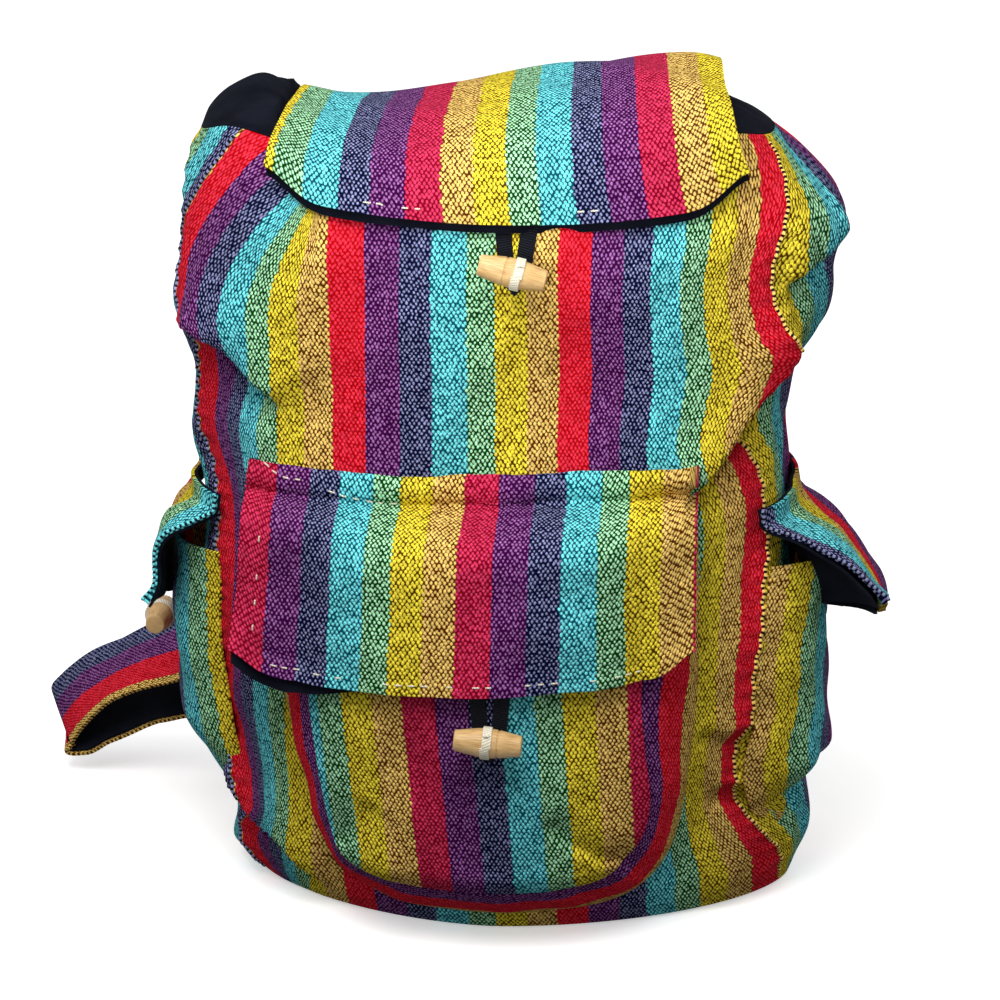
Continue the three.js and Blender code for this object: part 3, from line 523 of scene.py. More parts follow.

# The crowns: how much fibres and patches fill them, where their edge ends and starts, the painted highlight
# in their middle that fades to painted shade at their edge, and their tones from one to the next
FIBRE_SCALE = 1.1
FIBRE_FILL = 1.1
FIBRE_RELIEF = 0.35
PATCH_SCALE = 0.2
PATCH_FILL = 0.9
LEAST_FILL = -1.0
CROWN_EDGE = (1.15, 0.57)
DOME_REACH = 1.3
# Painted highlight in the middle of each crown and painted shade at its edge
DOME_HIGHLIGHT_AND_SHADE = (1.06, 0.8)
DOME_SLOPE = (0.1, 1.4)
CROWN_TONES = (0.74, 1.08)

# Colour of the yarn's crowns and of the gaps between them, and how much fuller than usual the crowns are
YARNS = {
    "yellow": ((1.0, 0.80, 0.055), (0.065, 0.028, 0.001), 0.13),
    "mustard": ((1.0, 0.67, 0.18), (0.085, 0.019, 0.001), 0.06),
    "red": ((0.92, 0.036, 0.072), (0.40, 0.001, 0.004), 0.0),
    "crimson": ((0.76, 0.045, 0.13), (0.20, 0.001, 0.012), 0.0),
    "purple": ((0.38, 0.14, 0.41), (0.034, 0.001, 0.040), -0.18),
    "slate": ((0.28, 0.30, 0.53), (0.001, 0.002, 0.020), -0.19),
    "cyan": ((0.21, 0.88, 0.95), (0.001, 0.062, 0.088), 0.02),
    "green": ((0.48, 0.92, 0.54), (0.001, 0.034, 0.003), -0.05),
}


class Value:
    """An output of a node, which can be added to, taken from, multiplied and divided."""

    def __init__(self, nodes, socket):
        self.nodes = nodes
        self.socket = socket

    def other(self, name):
        """Another output of the same node."""
        return Value(self.nodes, self.socket.node.outputs[name])

    def __add__(self, b):
        return self.nodes.math("ADD", self, b)

    def __sub__(self, b):
        return self.nodes.math("SUBTRACT", self, b)

    def __mul__(self, b):
        return self.nodes.math("MULTIPLY", self, b)

    def __truediv__(self, b):
        return self.nodes.math("DIVIDE", self, b)


class Nodes:
    """Short calls to build one node tree."""

    def __init__(self, tree):
        self.tree = tree

    def feed(self, socket, value):
        if isinstance(value, Value):
            self.tree.links.new(value.socket, socket)
        elif value is not None:
            socket.default_value = value

    def add(self, kind, *links, named=None, output=0, **settings):
        """A node with its inputs by place and by name; gives one of its outputs."""
        node = self.tree.nodes.new("ShaderNode" + kind)
        for key, value in settings.items():
            setattr(node, key, value)
        for key, value in {**dict(enumerate(links)), **(named or {})}.items():
            self.feed(node.inputs[key], value)
        return Value(self, node.outputs[output])

    def math(self, operation, a, b=None):
        return self.add("Math", a, b, operation=operation)

    def vector(self, operation, a, b):
        return self.add("VectorMath", a, b, operation=operation)

    def split(self, vector):
        first = self.add("SeparateXYZ", vector)
        return first, first.other(1), first.other(2)

    def noise(self, vector, scale, detail=2.0, output="Fac"):
        named = {"Vector": vector, "Scale": scale, "Detail": detail}
        return self.add("TexNoise", named=named, output=output)

    def span(self, value, low, high, to_low=0.0, to_high=1.0, kind="SMOOTHSTEP"):
        return self.add("MapRange", value, low, high, to_low, to_high, interpolation_type=kind)

    def mix(self, share, a, b, kind="MIX"):
        named = {"Factor": share, 6: a, 7: b}
        return self.add("Mix", named=named, output=2, data_type="RGBA", blend_type=kind)

    def ramp(self, share, stops):
        """Bands of even colour, each from its own place on."""
        bands = self.add("ValToRGB", share)
        ramp = bands.socket.node.color_ramp
        ramp.interpolation = "CONSTANT"
        while len(ramp.elements) < len(stops):
            ramp.elements.new(1.0)
        for element, (place, color) in zip(ramp.elements, stops):
            element.position = place
            element.color = (*color, 1)
        return bands


class Surface(Nodes):
    """One material; its Cloth map holds millimetres across and along the cloth."""

    def __init__(self, name):
        self.material = bpy.data.materials.new(name)
        self.material.use_nodes = True
        super().__init__(self.material.node_tree)
        self.shader = self.tree.nodes["Principled BSDF"]

    def cloth_place(self):
        return self.add("UVMap", uv_map="Cloth")

    def bump(self, height, distance, strength):
        named = {"Height": height, "Distance": distance * MM, "Strength": strength}
        self.feed(self.shader.inputs["Normal"], self.add("Bump", named=named))

    def finish(self, color, roughness, specular, sheen=0.0):
        self.feed(self.shader.inputs["Base Color"], color)
        self.feed(self.shader.inputs["Roughness"], roughness)
        self.shader.inputs["Sheen Weight"].default_value = sheen
        self.shader.inputs["Specular IOR Level"].default_value = specular
        return self.material


def woven(name, red, fine):
    """Woven cotton in stripes: oval crowns of yarn in brick order, each in one stripe's colour.

    red is the yarn of the red stripe, and fine is the size of the yarn.
    """
    pitch_across, pitch_along = DOT_ACROSS * fine, DOT_ALONG * fine
    half_across, half_along = DOT_HALF[0] * fine, DOT_HALF[1] * fine
    nodes = Surface(name)
    flat = nodes.cloth_place()
    sway = nodes.vector("SUBTRACT", nodes.noise(flat, SWAY_SCALE, output="Color"), (0.5, 0.5, 0.5))
    place = nodes.vector("ADD", flat, nodes.vector("MULTIPLY", sway, SWAY))
    across, along, _ = nodes.split(place)
    across_step, along_step = across / pitch_across, along / pitch_along
    first, second = along_step + across_step, along_step - across_step
    dot_place = nodes.add("CombineXYZ", first, second, 0.0)
    named = {"Vector": dot_place, "Scale": 1.0, "Randomness": DOT_SCATTER}
    dots = nodes.add("TexVoronoi", named=named, voronoi_dimensions="2D")
    dot_first, dot_second, _ = nodes.split(dots.other("Position"))
    off_first, off_second = first - dot_first, second - dot_second
    off_across = (off_first - off_second) * (pitch_across / 2 / half_across)
    off_along = (off_first + off_second) * (pitch_along / 2 / half_along)
    away = nodes.math("SQRT", off_across * off_across + off_along * off_along)

    stops = []
    for stripe, start in STRIPE_START.items():
        stops.append((start / STRIPE_PERIOD, YARNS[red if stripe == "red" else stripe]))
    dot_share = nodes.math("FRACT", (dot_first - dot_second) * (pitch_across / 2) / STRIPE_PERIOD)
    gap_share = nodes.math("FRACT", across / STRIPE_PERIOD)
    bright = nodes.ramp(dot_share, [(at, crown) for at, (crown, _, _) in stops])
    dark = nodes.ramp(gap_share, [(at, gap) for at, (_, gap, _) in stops])
    fuller = nodes.ramp(dot_share, [(at, (0.5 + full,) * 3) for at, (_, _, full) in stops])

    fibre = nodes.noise(place, FIBRE_SCALE / fine, detail=3.0)
    patch = nodes.noise(place, PATCH_SCALE)
    filled = fibre * FIBRE_FILL + (patch * PATCH_FILL + LEAST_FILL) + (fuller - 0.5)
    crown = nodes.span(away - filled, *CROWN_EDGE)
    own = nodes.split(dots.other("Color"))[0]
    # Painted highlight and shade on each crown: lighter in its middle, darker towards its edge; then times
    # a random tone of each crown
    dome = nodes.span(away, 0.0, DOME_REACH, *DOME_HIGHLIGHT_AND_SHADE, "LINEAR")
    shading_and_tone = dome * nodes.span(own, 0, 1, *CROWN_TONES, "LINEAR")
    bright = nodes.mix(1.0, bright, nodes.add("CombineXYZ", shading_and_tone, shading_and_tone, shading_and_tone), "MULTIPLY")
    height = fibre * FIBRE_RELIEF + nodes.span(away, *DOME_SLOPE, 1.0, 0.0)
    nodes.bump(height, distance=0.5, strength=0.7)
    return nodes.finish(nodes.mix(crown, dark, bright), roughness=0.95, specular=0.04)


# Spacing of the black cotton's threads, of the tape's ribs and of the edging cords' crowns, the stretch of
# the bamboo's grain, the twist of the white thread across and along, and how those crowns fray and where
# they end
COTTON_PITCH = 0.9
TAPE_PITCH = 1.1
BEAD_PITCH = 2.7
GRAIN_STRETCH = (1.6, 0.08, 1.0)
THREAD_TWIST = (4.0, 5.0)
BEAD_FRAY = 0.16
BEAD_EDGE = (0.42, 0.26)


def black_cotton():
    nodes = Surface("black_cotton")
    place = nodes.cloth_place()
    threads = [nodes.math("SINE", axis * (TURN / COTTON_PITCH)) for axis in nodes.split(place)[:2]]
    cloud = nodes.noise(place, scale=0.05, detail=4.0)
    color = nodes.mix(nodes.span(cloud, 0.3, 0.7), (0.0035, 0.004, 0.008, 1), (0.007, 0.0085, 0.015, 1))
    nodes.bump(threads[0] * threads[1] * 0.3 + cloud, distance=0.3, strength=0.5)
    return nodes.finish(color, roughness=0.95, specular=0.05)


def black_tape():
    nodes = Surface("black_tape")
    ribs = nodes.math("SINE", nodes.split(nodes.cloth_place())[1] * (TURN / TAPE_PITCH))
    # Darker in the grooves between the ribs and lighter on the ribs: painted shade, on top of the bump
    color = nodes.mix(nodes.span(ribs, -1, 1), (0.002, 0.0025, 0.004, 1), (0.009, 0.010, 0.017, 1))
    nodes.bump(ribs, distance=0.25, strength=0.8)
    return nodes.finish(color, roughness=0.8, specular=0.1)


def bamboo():
    nodes = Surface("bamboo")
    place = nodes.cloth_place()
    grain = nodes.noise(nodes.vector("MULTIPLY", place, GRAIN_STRETCH), scale=1.6, detail=3.0)
    cloud = nodes.noise(place, scale=0.12)
    color = nodes.mix(nodes.span(grain, 0.3, 0.7), (0.40, 0.21, 0.066, 1), (0.68, 0.44, 0.18, 1))
    color = nodes.mix(nodes.span(cloud, 0.35, 0.75, 0.0, 0.45), color, (0.76, 0.54, 0.26, 1))
    nodes.bump(grain, distance=0.12, strength=0.5)
    return nodes.finish(color, roughness=nodes.span(grain, 0.2, 0.8, 0.5, 0.34), specular=0.4)


def white_thread():
    nodes = Surface("white_thread")
    across, along, _ = nodes.split(nodes.cloth_place())
    twist = nodes.math("SINE", across * THREAD_TWIST[0] + along * THREAD_TWIST[1])
    # Darker in the grooves of the twist and lighter on its crests: painted shade, on top of the bump
    color = nodes.mix(nodes.span(twist, -1, 1), (0.58, 0.52, 0.38, 1), (0.88, 0.83, 0.68, 1))
    nodes.bump(twist, distance=0.12, strength=0.6)
    return nodes.finish(color, roughness=0.6, specular=0.3, sheen=0.1)


def beaded_cord(yarn):
    """An edging cord: crowns of coloured yarn, with black between them."""
    nodes = Surface(yarn + "_cord")
    place = nodes.cloth_place()
    share = nodes.math("FRACT", nodes.split(place)[1] / BEAD_PITCH)
    fibre = nodes.noise(place, scale=1.6)
    crown = nodes.span(fibre * BEAD_FRAY + nodes.math("ABSOLUTE", share - 0.5), *BEAD_EDGE)
    color = nodes.mix(crown, (0.006, 0.006, 0.010, 1), (*YARNS[yarn][0], 1))
    nodes.bump(fibre, distance=0.2, strength=0.6)
    return nodes.finish(color, roughness=0.95, specular=0.08)


WOVEN = woven("woven_cotton", "red", 0.8)
WOVEN_FLAP = woven("woven_cotton_crimson", "crimson", 0.8)
WOVEN_STRAP = woven("woven_cotton_strap", "red", 0.62)
BLACK = black_cotton()
TAPE = black_tape()
BAMBOO = bamboo()
THREAD = white_thread()
CORDS = {yarn: beaded_cord(yarn) for yarn in ("mustard", "slate", "cyan")}


# Main bag's panels; the front starts with one mustard yarn and then red

FRONT_FLAT = YARN * 250
LEFT_SIDE_FLAT = 100.0
RIGHT_SIDE_FLAT = 118.0
BACK_FLAT = 250.0
FRONT_PHASE = STRIPE_START["red"] - YARN
LEFT_SIDE_PHASE = STRIPE_START["slate"] + 6 + LEFT_SIDE_FLAT
RIGHT_SIDE_PHASE = STRIPE_START["mustard"]
PANEL_BOTTOM = 0.8
PANEL_ROWS = 176
BACK_WAVES = 1.4


def front_arc(u, z):
    """Distance round the bag of the front panel's warp line u at a height."""
    width = FRONT_RIGHT - FRONT_LEFT
    from_left = u * width + curve(FRONT_DRIFT, u * FRONT_FLAT)
    left = curve(LEFT_SEAM, z) - FRONT_LEFT
    right = curve(RIGHT_SEAM, z) - FRONT_RIGHT
    pull = left * np.exp(-(from_left / LEFT_PULL) ** 2) + right * np.exp(-(width - from_left) / RIGHT_PULL)
    start = GATHER_START + GATHER_CORNER * np.clip(1 - from_left / (GATHER_REACH / 2), 0, 1)
    lean = GATHER_SLOPE * np.clip(1 - (from_left / GATHER_REACH) ** 2, 0, 1)
    above = np.log1p(np.exp((z - start) / GATHER_EASE)) * GATHER_EASE
    return FRONT_LEFT + from_left + pull + lean * above


def left_side_arc(u, z):
    return mix(back_seam("left", z), front_arc(0 * u, z), u)


def right_side_arc(u, z):
    return mix(front_arc(0 * u + 1, z), back_seam("right", z), u)


def back_arc(u, z):
    """The back panel goes round the back middle, where the distance round the bag starts again."""
    around = np.interp(z, LOFT_HEIGHTS, PERIMETERS)
    arc = mix(back_seam("right", z), back_seam("left", z) + around, u)
    return np.where(arc > around / 2, arc - around, arc)


def panel_grid(columns, rows):
    return np.meshgrid(np.linspace(0, 1, columns + 1), np.linspace(PANEL_BOTTOM, BODY_HEIGHT, rows + 1))


# Each striped panel's columns, width, place in the weave at its first seam, and which way that goes on
PANELS = [
    ("front_panel", front_arc, 150, FRONT_FLAT, FRONT_PHASE, 1),
    ("left_side_panel", left_side_arc, 50, LEFT_SIDE_FLAT, LEFT_SIDE_PHASE, -1),
    ("right_side_panel", right_side_arc, 56, RIGHT_SIDE_FLAT, RIGHT_SIDE_PHASE, -1),
]
for name, arc_of, columns, width, phase, way in PANELS:
    u, z = panel_grid(columns, PANEL_ROWS)
    cloth(name, bag_point(arc_of(u, z), z), cloth_map(phase + way * width * u, z), WOVEN,
          (width, BODY_HEIGHT), "stretched", ["base_panel"])

u, z = panel_grid(90, 110)
stand = BACK_WAVES * waves(u * BACK_FLAT, 0.6 * z, size=80, seed=5) * np.sin(math.pi * u)
cloth("back_panel", loft_point(back_arc(u, z), z, stand), cloth_map(u * BACK_FLAT, z), BLACK,
      (BACK_FLAT, BODY_HEIGHT), "stretched", ["base_panel"])

# Base, a little inside the panels' lower edges; its rings close in on the middle
BASE_INSET = 0.975
BASE_MIDDLE = 0.02
BASE_LIFT = 0.4
BASE_THICKNESS = 2.2
u, v = np.meshgrid(*grid(96, 14))
base_flat = outline_at(-u * TURN, PANEL_BOTTOM) * mix(BASE_INSET, BASE_MIDDLE, v)[..., None]
base = np.concatenate([base_flat, np.full(u.shape + (1,), BASE_LIFT)], -1)
base[:, -1] = base[:, 0]
cloth("base_panel", base, base[..., :2], WOVEN, (270, 132), "stretched", ["front_panel"],
      BASE_THICKNESS, wrap=True)


# Front pocket: its outline as height and distance across, and that of the gusset's foot on the bag

POCKET_BOTTOM = 32.0
POCKET_TOP = 196.0
POCKET_LEFT = [
    [32, -46], [34, -55], [38, -63], [45, -70], [57, -74], [75, -77], [95, -80], [126, -83], [196, -84],
]
POCKET_RIGHT = [
    [32, 40], [34, 50], [38, 57], [45, 64], [54, 71], [64, 75], [78, 76.5], [102, 74], [130, 72], [196, 74],
]
GUSSET_LEFT = [[13, -40], [18, -56], [28, -70], [43, -80], [69, -88], [94, -93], [124, -100], [196, -104]]
GUSSET_RIGHT = [[13, 40], [16, 56], [23, 71], [37, 83], [59, 90], [90, 94], [125, 97], [196, 96]]
POCKET_DEPTH = 25.0
POCKET_CROWN = 14.0
POCKET_CROWN_ARC = (0.12, 0.72)
POCKET_SIDE_TUCK = 4.0
POCKET_BOTTOM_TUCK = 5.0
POCKET_BOTTOM_EDGE = 0.07
POCKET_WAVES = 0.9
POCKET_FOLDS = [
    ([(72, 42), (56, 46), (40, 56), (24, 72)], (-1.5, 14), (6, 11), 2.5),
    ([(-72, 46), (-58, 58), (-48, 76)], (-3, 10), (1.5, 10), 2.5),
]

# The pocket's stripes lean to the right going down, more on the left than on the right
POCKET_PHASE = STRIPE_START["cyan"] + 10.6
POCKET_LEAN = (9.0, 5.0)
POCKET_LEAN_FROM = 130.0
POCKET_LEAN_OVER = 95.0
POCKET_LEAN_WIDTH = 155.0


def pocket_stand(x, z):
    """Distance from the bag to the outer face of the front pocket."""
    x, z = together(x, z)
    level = np.clip(z, POCKET_BOTTOM, POCKET_TOP)
    left, right = curve(POCKET_LEFT, level), curve(POCKET_RIGHT, level)
    across = np.clip((2 * x - left - right) / (right - left), -1, 1)
    up = (level - POCKET_BOTTOM) / (POCKET_TOP - POCKET_BOTTOM)
    crown = POCKET_CROWN * (1 - across ** 2) * np.sin(math.pi * mix(*POCKET_CROWN_ARC, up))
    tuck = POCKET_SIDE_TUCK * np.abs(across) ** 10
    tuck = tuck + POCKET_BOTTOM_TUCK * np.clip(1 - up / POCKET_BOTTOM_EDGE, 0, 1) ** 2
    folds = sum(fold_relief(x, z, fold) for fold in POCKET_FOLDS)
    return POCKET_DEPTH + crown - tuck + folds + POCKET_WAVES * waves(x, 0.7 * z, size=40, seed=11)


def pocket_y(x, z):
    return front_y(x, z) - pocket_stand(x, z)


u, v = np.meshgrid(*grid(90, 100))
z = mix(POCKET_BOTTOM, POCKET_TOP, v ** 1.4)
x = mix(curve(POCKET_LEFT, z), curve(POCKET_RIGHT, z), u)
from_left = x - POCKET_LEFT[-1][1]
lean = mix(*POCKET_LEAN, from_left / POCKET_LEAN_WIDTH) * (POCKET_LEAN_FROM - z) / POCKET_LEAN_OVER
weave = cloth_map(POCKET_PHASE + from_left - lean, z)
cloth("front_pocket_panel", np.stack([x, pocket_y(x, z), z], -1), weave, WOVEN_FLAP,
      (165, 170), "stretched", ["front_pocket_gusset"])


def pocket_outline(left, right, count):
    """From the top of the left side, round the bottom, to the top of the right side."""
    stops = np.array(left[::-1] + right, float)[:, ::-1]
    return resample(spline(stops, np.linspace(0, 1, 400)), count)


# The gusset goes from its foot on the bag to the pocket's edge, and puffs away from a point inside
GUSSET_FLAT = 36.0
GUSSET_LENGTH = 470.0
GUSSET_PHASE = STRIPE_START["purple"] + 9
GUSSET_PUFF = 3.0
GUSSET_WAVES = 1.2
GUSSET_MIDDLE = np.array([0, 0, 130])
UNDER_POCKET = 1.0
OVER_BAG = 0.5
steps, share = grid(180, 18)
front_x, front_z = pocket_outline(POCKET_LEFT, POCKET_RIGHT, len(steps)).T
foot_x, foot_z = pocket_outline(GUSSET_LEFT, GUSSET_RIGHT, len(steps)).T
front_edge = np.column_stack([front_x, pocket_y(front_x, front_z) + UNDER_POCKET, front_z])
foot_edge = np.column_stack([foot_x, front_y(foot_x, foot_z) - OVER_BAG, foot_z])
share = share[:, None]
away = unit((foot_edge - GUSSET_MIDDLE) * [1, 0, 1])
puff = GUSSET_PUFF + GUSSET_WAVES * waves(steps * GUSSET_LENGTH, 0 * steps, size=34, seed=12)
puff = np.sin(math.pi * share) * puff
gusset = mix(foot_edge, front_edge, share[..., None]) + away * puff[..., None]
weave = cloth_map(GUSSET_PHASE - (1 - share) * GUSSET_FLAT, steps * GUSSET_LENGTH)
cloth("front_pocket_gusset", gusset, weave, WOVEN,
      (GUSSET_FLAT, GUSSET_LENGTH), "stretched", ["front_panel"])

# Flaps: the hem is rolled, so the cloth is thicker there, and the black lining shows past it in a band that
# is partly lining and partly painted shadow under the hem
FLAP_STACK = 3.8
FLANGE_STAND = 4.7
LINING_GAP = 0.4
LINING_BLUR = 5
HEM_ROLL = 1.1
HEM_WIDTH = 6.0


def blur_rows(values, reach):
    """Each row's mean with its neighbours."""
    padded_rows = np.concatenate([values[:1]] * reach + [values] + [values[-1:]] * reach)
    return sum(padded_rows[k:k + len(values)] for k in range(2 * reach + 1)) / (2 * reach + 1)


def flap_pieces(name, points, weave, material, flat, rests_on, show, sag=0.0):
    """A flap and its lining, which shows past the hem as a black band of lining and painted shadow, and may
    sag away from the flap.
    """
    roll = HEM_ROLL * np.exp(-(lengths(points) / HEM_WIDTH) ** 2)
    normals = grid_normals(points)
    points = points + normals * roll[..., None]
    thickness = CLOTH + 2 * roll
    cloth(name, points, weave, material, flat, "draped", rests_on, thickness)
    v = np.linspace(0, 1, len(points))[:, None, None]
    # The lining reaches past the hem by show: a black band that is partly lining and partly painted shadow
    # under the hem
    past_hem = unit(np.gradient(points, axis=0)) * np.reshape(show, (1, -1, 1)) * (1 - v) ** 8
    below = unit(blur_rows(normals, LINING_BLUR)) * (thickness + LINING_GAP)[..., None]
    cloth(name + "_lining", points - below - past_hem + sag, weave, BLACK, flat, "draped", [name], LINING)
    return points


def flap_weave(points, start, width):
    """Place in the weave: across from the first column, and along from the hem."""
    return cloth_map(start + width * np.linspace(0, 1, points.shape[1]), lengths(points))


def round_off(offset, reach, squareness):
    share = np.minimum(np.abs(offset) / reach, 1)
    return (1 - share ** squareness) ** (1 / squareness)


# Top flap: its sides at the hem and at the seam, its crest, and its paths as shares of the way out and up
FLAP_LEFT = (-102.0, -98.0)
FLAP_RIGHT = (116.0, 92.0)
FLAP_HEM = 346.5
FLAP_HEM_RISE = 10.0
FLAP_CORNER_RISE = 12.0
FLAP_CORNER_FROM = 0.7
FLAP_SEAM = 354.0
FLAP_STANDOFF = 7.0
FLAP_CREST = [[-108, 386], [-64, 381], [-20, 389], [30, 398], [85, 404], [114, 399]]
FLAP_FRONT_PATH = [(1, 0), (0.985, 0.275), (0.9, 0.625), (0.62, 0.89), (0.2, 1)]
FLAP_BACK_PATH = [(0.4, 0.98), (0.9, 0.68), (1, 0)]
FLAP_FLAT = 206.0
FLAP_PHASE = STRIPE_START["mustard"] - 10.9


def top_flap_grid(columns, rows):
    u, v = grid(columns, rows)
    across = 2 * u - 1
    path = FLAP_FRONT_PATH + FLAP_BACK_PATH
    stops = []
    for k, (out, up) in enumerate(path):
        back_share = k / (len(path) - 1)
        x = mix(mix(*FLAP_LEFT, back_share), mix(*FLAP_RIGHT, back_share), u)
        in_front = k < len(FLAP_FRONT_PATH)
        left, right, front, back, squareness = section(FLAP_HEM if in_front else FLAP_SEAM)
        full = round_off(x, np.where(x < 0, left, right), squareness)
        if in_front:
            corner = smooth(np.abs(across), FLAP_CORNER_FROM, 1) ** 2
            low = FLAP_HEM + FLAP_HEM_RISE * across ** 2 + FLAP_CORNER_RISE * corner
            reach = -front * full - FLAP_STANDOFF
        else:
            low = FLAP_SEAM
            reach = back * full + FLANGE_STAND
        stops.append(np.stack([x, reach * out, mix(low, curve(FLAP_CREST, x), up)], -1))
    return spline(stops, v)


top_flap = rough(top_flap_grid(110, 110), height=0.9, size=60, seed=21)
top_flap = flap_pieces("top_flap", top_flap, flap_weave(top_flap, FLAP_PHASE, -FLAP_FLAT), WOVEN_FLAP,
                       (222, 210), ["front_panel", "mouth_collar"], show=4.4)

# Front pocket's flap: sewn to the bag by a flange, which ends in a crease
FRONT_FLAP_MIDDLE = -10.0
FRONT_FLAP_HALF = 106.0
FRONT_FLAP_TOP = 232.0
FRONT_FLAP_DIP = 3.6
FRONT_FLAP_HEM = 137.0
FRONT_FLAP_FLANGE = 14.0
FRONT_FLAP_TILT = 0.03
FRONT_FLAP_CORNER = 12.0
FRONT_FLAP_CORNER_FROM = 0.76
FRONT_FLAP_CURL = 9.0
FRONT_FLAP_CURL_FROM = 0.3
FRONT_FLAP_EASE = 2.5
FRONT_FLAP_SHOW = (1.5, 6.0)
FRONT_FLAP_SHOW_FROM = (0.35, 0.8)
FRONT_FLAP_FLAT = 205.5
FRONT_FLAP_PHASE = STRIPE_START["red"] + 1.4

# How far the flap's left edge swings out from its top to its hem
FRONT_FLAP_SWING = (3.0, -3.5)

# From the hem up: share of the way to the pocket's top, and share of the hem's curl
FRONT_FLAP_LOWER = [(0, 1), (0.35, 0.25), (0.75, 0)]

# The flap below its stitched crease: distance down from the crease and share of the way out to the brow
FRONT_FLAP_BROW = [(16.0, 0.99), (9.5, 0.87), (5.0, 0.58), (2.0, 0.24)]

# The flange between crease and top: share of the way up, a distance up, and how far it stands out
FRONT_FLAP_UPPER = [(0, 0, 0), (0, 3.5, 1.8), (0.6, 0, 2.2), (1, 0, 0)]


def front_flap_grid(columns, rows):
    u, v = grid(columns, rows)
    across = 2 * u - 1
    x = FRONT_FLAP_MIDDLE + across * FRONT_FLAP_HALF
    lean = FRONT_FLAP_TILT * (x - FRONT_FLAP_MIDDLE)
    top = FRONT_FLAP_TOP + lean - FRONT_FLAP_DIP * (1 - across ** 2)
    crease = top - FRONT_FLAP_FLANGE
    corner = smooth(np.abs(across), FRONT_FLAP_CORNER_FROM, 1) ** 2
    hem = FRONT_FLAP_HEM + lean + FRONT_FLAP_CORNER * corner
    curl = FRONT_FLAP_CURL * smooth(-across, FRONT_FLAP_CURL_FROM, 1)

    def over(z):
        return pocket_stand(x, z) + FRONT_FLAP_EASE + FLAP_STACK

    def at(z, stand):
        swing = mix(*FRONT_FLAP_SWING, np.clip((top - z) / (top - hem), 0, 1)) * (1 - u) ** 2
        return np.stack([x + swing, front_y(x, z) - stand, z], -1)

    stops = []
    for up, share in FRONT_FLAP_LOWER:
        z = mix(hem, POCKET_TOP, up)
        stops.append(at(z, over(z) + curl * share))
    for down, share in FRONT_FLAP_BROW:
        z = crease - down
        stops.append(at(z, mix(FLANGE_STAND, over(np.minimum(z, POCKET_TOP)), share)))
    for share, up, stand in FRONT_FLAP_UPPER:
        stops.append(at(mix(crease, top, share) + up, FLANGE_STAND + stand))
    return spline(stops, v)


front_flap = rough(front_flap_grid(106, 150), height=0.8, size=46, seed=22)
show = mix(*FRONT_FLAP_SHOW, smooth(np.linspace(1, -1, front_flap.shape[1]), *FRONT_FLAP_SHOW_FROM))
weave = flap_weave(front_flap, FRONT_FLAP_PHASE, FRONT_FLAP_FLAT)
front_flap = flap_pieces("front_pocket_flap", front_flap, weave, WOVEN_FLAP,
                         (213, 135), ["front_panel", "front_pocket_panel"], show)

# Side pockets and their flaps
SIDE_MIDDLE = -7.0
SIDE_HALF = 47.0
SIDE_BOTTOM = 36.0
SIDE_TOP = 176.0
SIDE_CORNER = 30.0
SIDE_STAND = 3.0
SIDE_TUCK = -2.0
SIDE_SEAM_GAP = 2.0

# Over what heights the pocket leaves its tuck, the share of the puff left at its mouth, from where it goes
# down to that, and where the flare is, up the pocket and across it
SIDE_SEAT = (-2, 8)
SIDE_MOUTH = 0.85
SIDE_MOUTH_FROM = 0.6
SIDE_FLARE_FROM = 0.55
SIDE_FLARE_ACROSS = (-0.2, 0.5)

# The side flaps; their flanges go up from the hinge by a share of their height and stand out
SIDE_FLAP_HALF = 50.0
SIDE_FLAP_HINGE = 198.0
SIDE_FLAP_FLANGE = 8.0
SIDE_FLAP_CORNER = 74.0
SIDE_FLANGE_STAND = 5.2
SIDE_FLANGE_PATH = [(0, 1.5), (0.5, 0.6), (1, 0)]
SAG_Y = -32.0
SAG_REACH = 16.0
SAG_FADE = (0.35, 0.8)

# out: which way is out. seam: the seam that the pocket's front edge follows. puff, swell and flare: how far
# the pocket puffs out, the heights where that starts and is full, and how far its mouth opens more.
# drop, reach and corner_lift: how far the flap's hem is below its hinge and past the side of the bag, and
# how far its front corner is lifted. The paths of the flap's front and back edges are shares of the drop
# and of the way out. The phases are places in the weave. sag: how far the flap's lining hangs away from it.
# toggle and shank: the toggle's place and its distance from the pocket. loop_top and loop_reach: the height
# of the top of its loop, and how far that is past the side of the bag
SIDES = {
    "left": {
        "out": -1, "seam": None, "puff": 17.0, "swell": (44, 88), "flare": 0.0,
        "drop": 61.5, "reach": 19.0, "corner_lift": 16.0,
        "front_path": [(1, 1), (0.83, 0.89), (0.51, 0.86), (0.19, 0.57)],
        "back_path": [(1, 1), (0.83, 1), (0.45, 0.95), (0.2, 0.58)],
        "pocket_phase": STRIPE_START["yellow"] + 8, "flap_phase": STRIPE_START["cyan"] + 5, "sag": 0.0,
        "toggle": (-172.862, 14.0, 119.0), "shank": 4.5, "loop_top": 144.0, "loop_reach": 13.0,
    },
    "right": {
        "out": 1, "seam": RIGHT_SEAM, "puff": 12.0, "swell": (54, 74), "flare": 6.0,
        "drop": 65.0, "reach": 36.0, "corner_lift": 30.0,
        "front_path": [(1, 1), (0.83, 0.89), (0.49, 0.7), (0.2, 0.42)],
        "back_path": [(1, 1), (0.83, 0.96), (0.43, 0.6), (0.2, 0.25)],
        "pocket_phase": STRIPE_START["mustard"] + 10, "flap_phase": STRIPE_START["slate"] + 8, "sag": 26.0,
        "toggle": (163.452, 16.0, 143.0), "shank": 1.5, "loop_top": 170.0, "loop_reach": 8.5,
    },
}


def side_face(out, y, z):
    """x of the bag's side, and the direction square to it as x and y."""
    left, right, front, back, squareness = section(z)
    reach = left if out < 0 else right
    depth = np.where(y < 0, front, back)
    x = out * reach * round_off(y, depth, squareness)
    square_x = out * np.abs(x / reach) ** (squareness - 1) / reach
    square_y = np.sign(y) * np.abs(y / depth) ** (squareness - 1) / depth
    return x, unit(np.stack([square_x, square_y], -1))


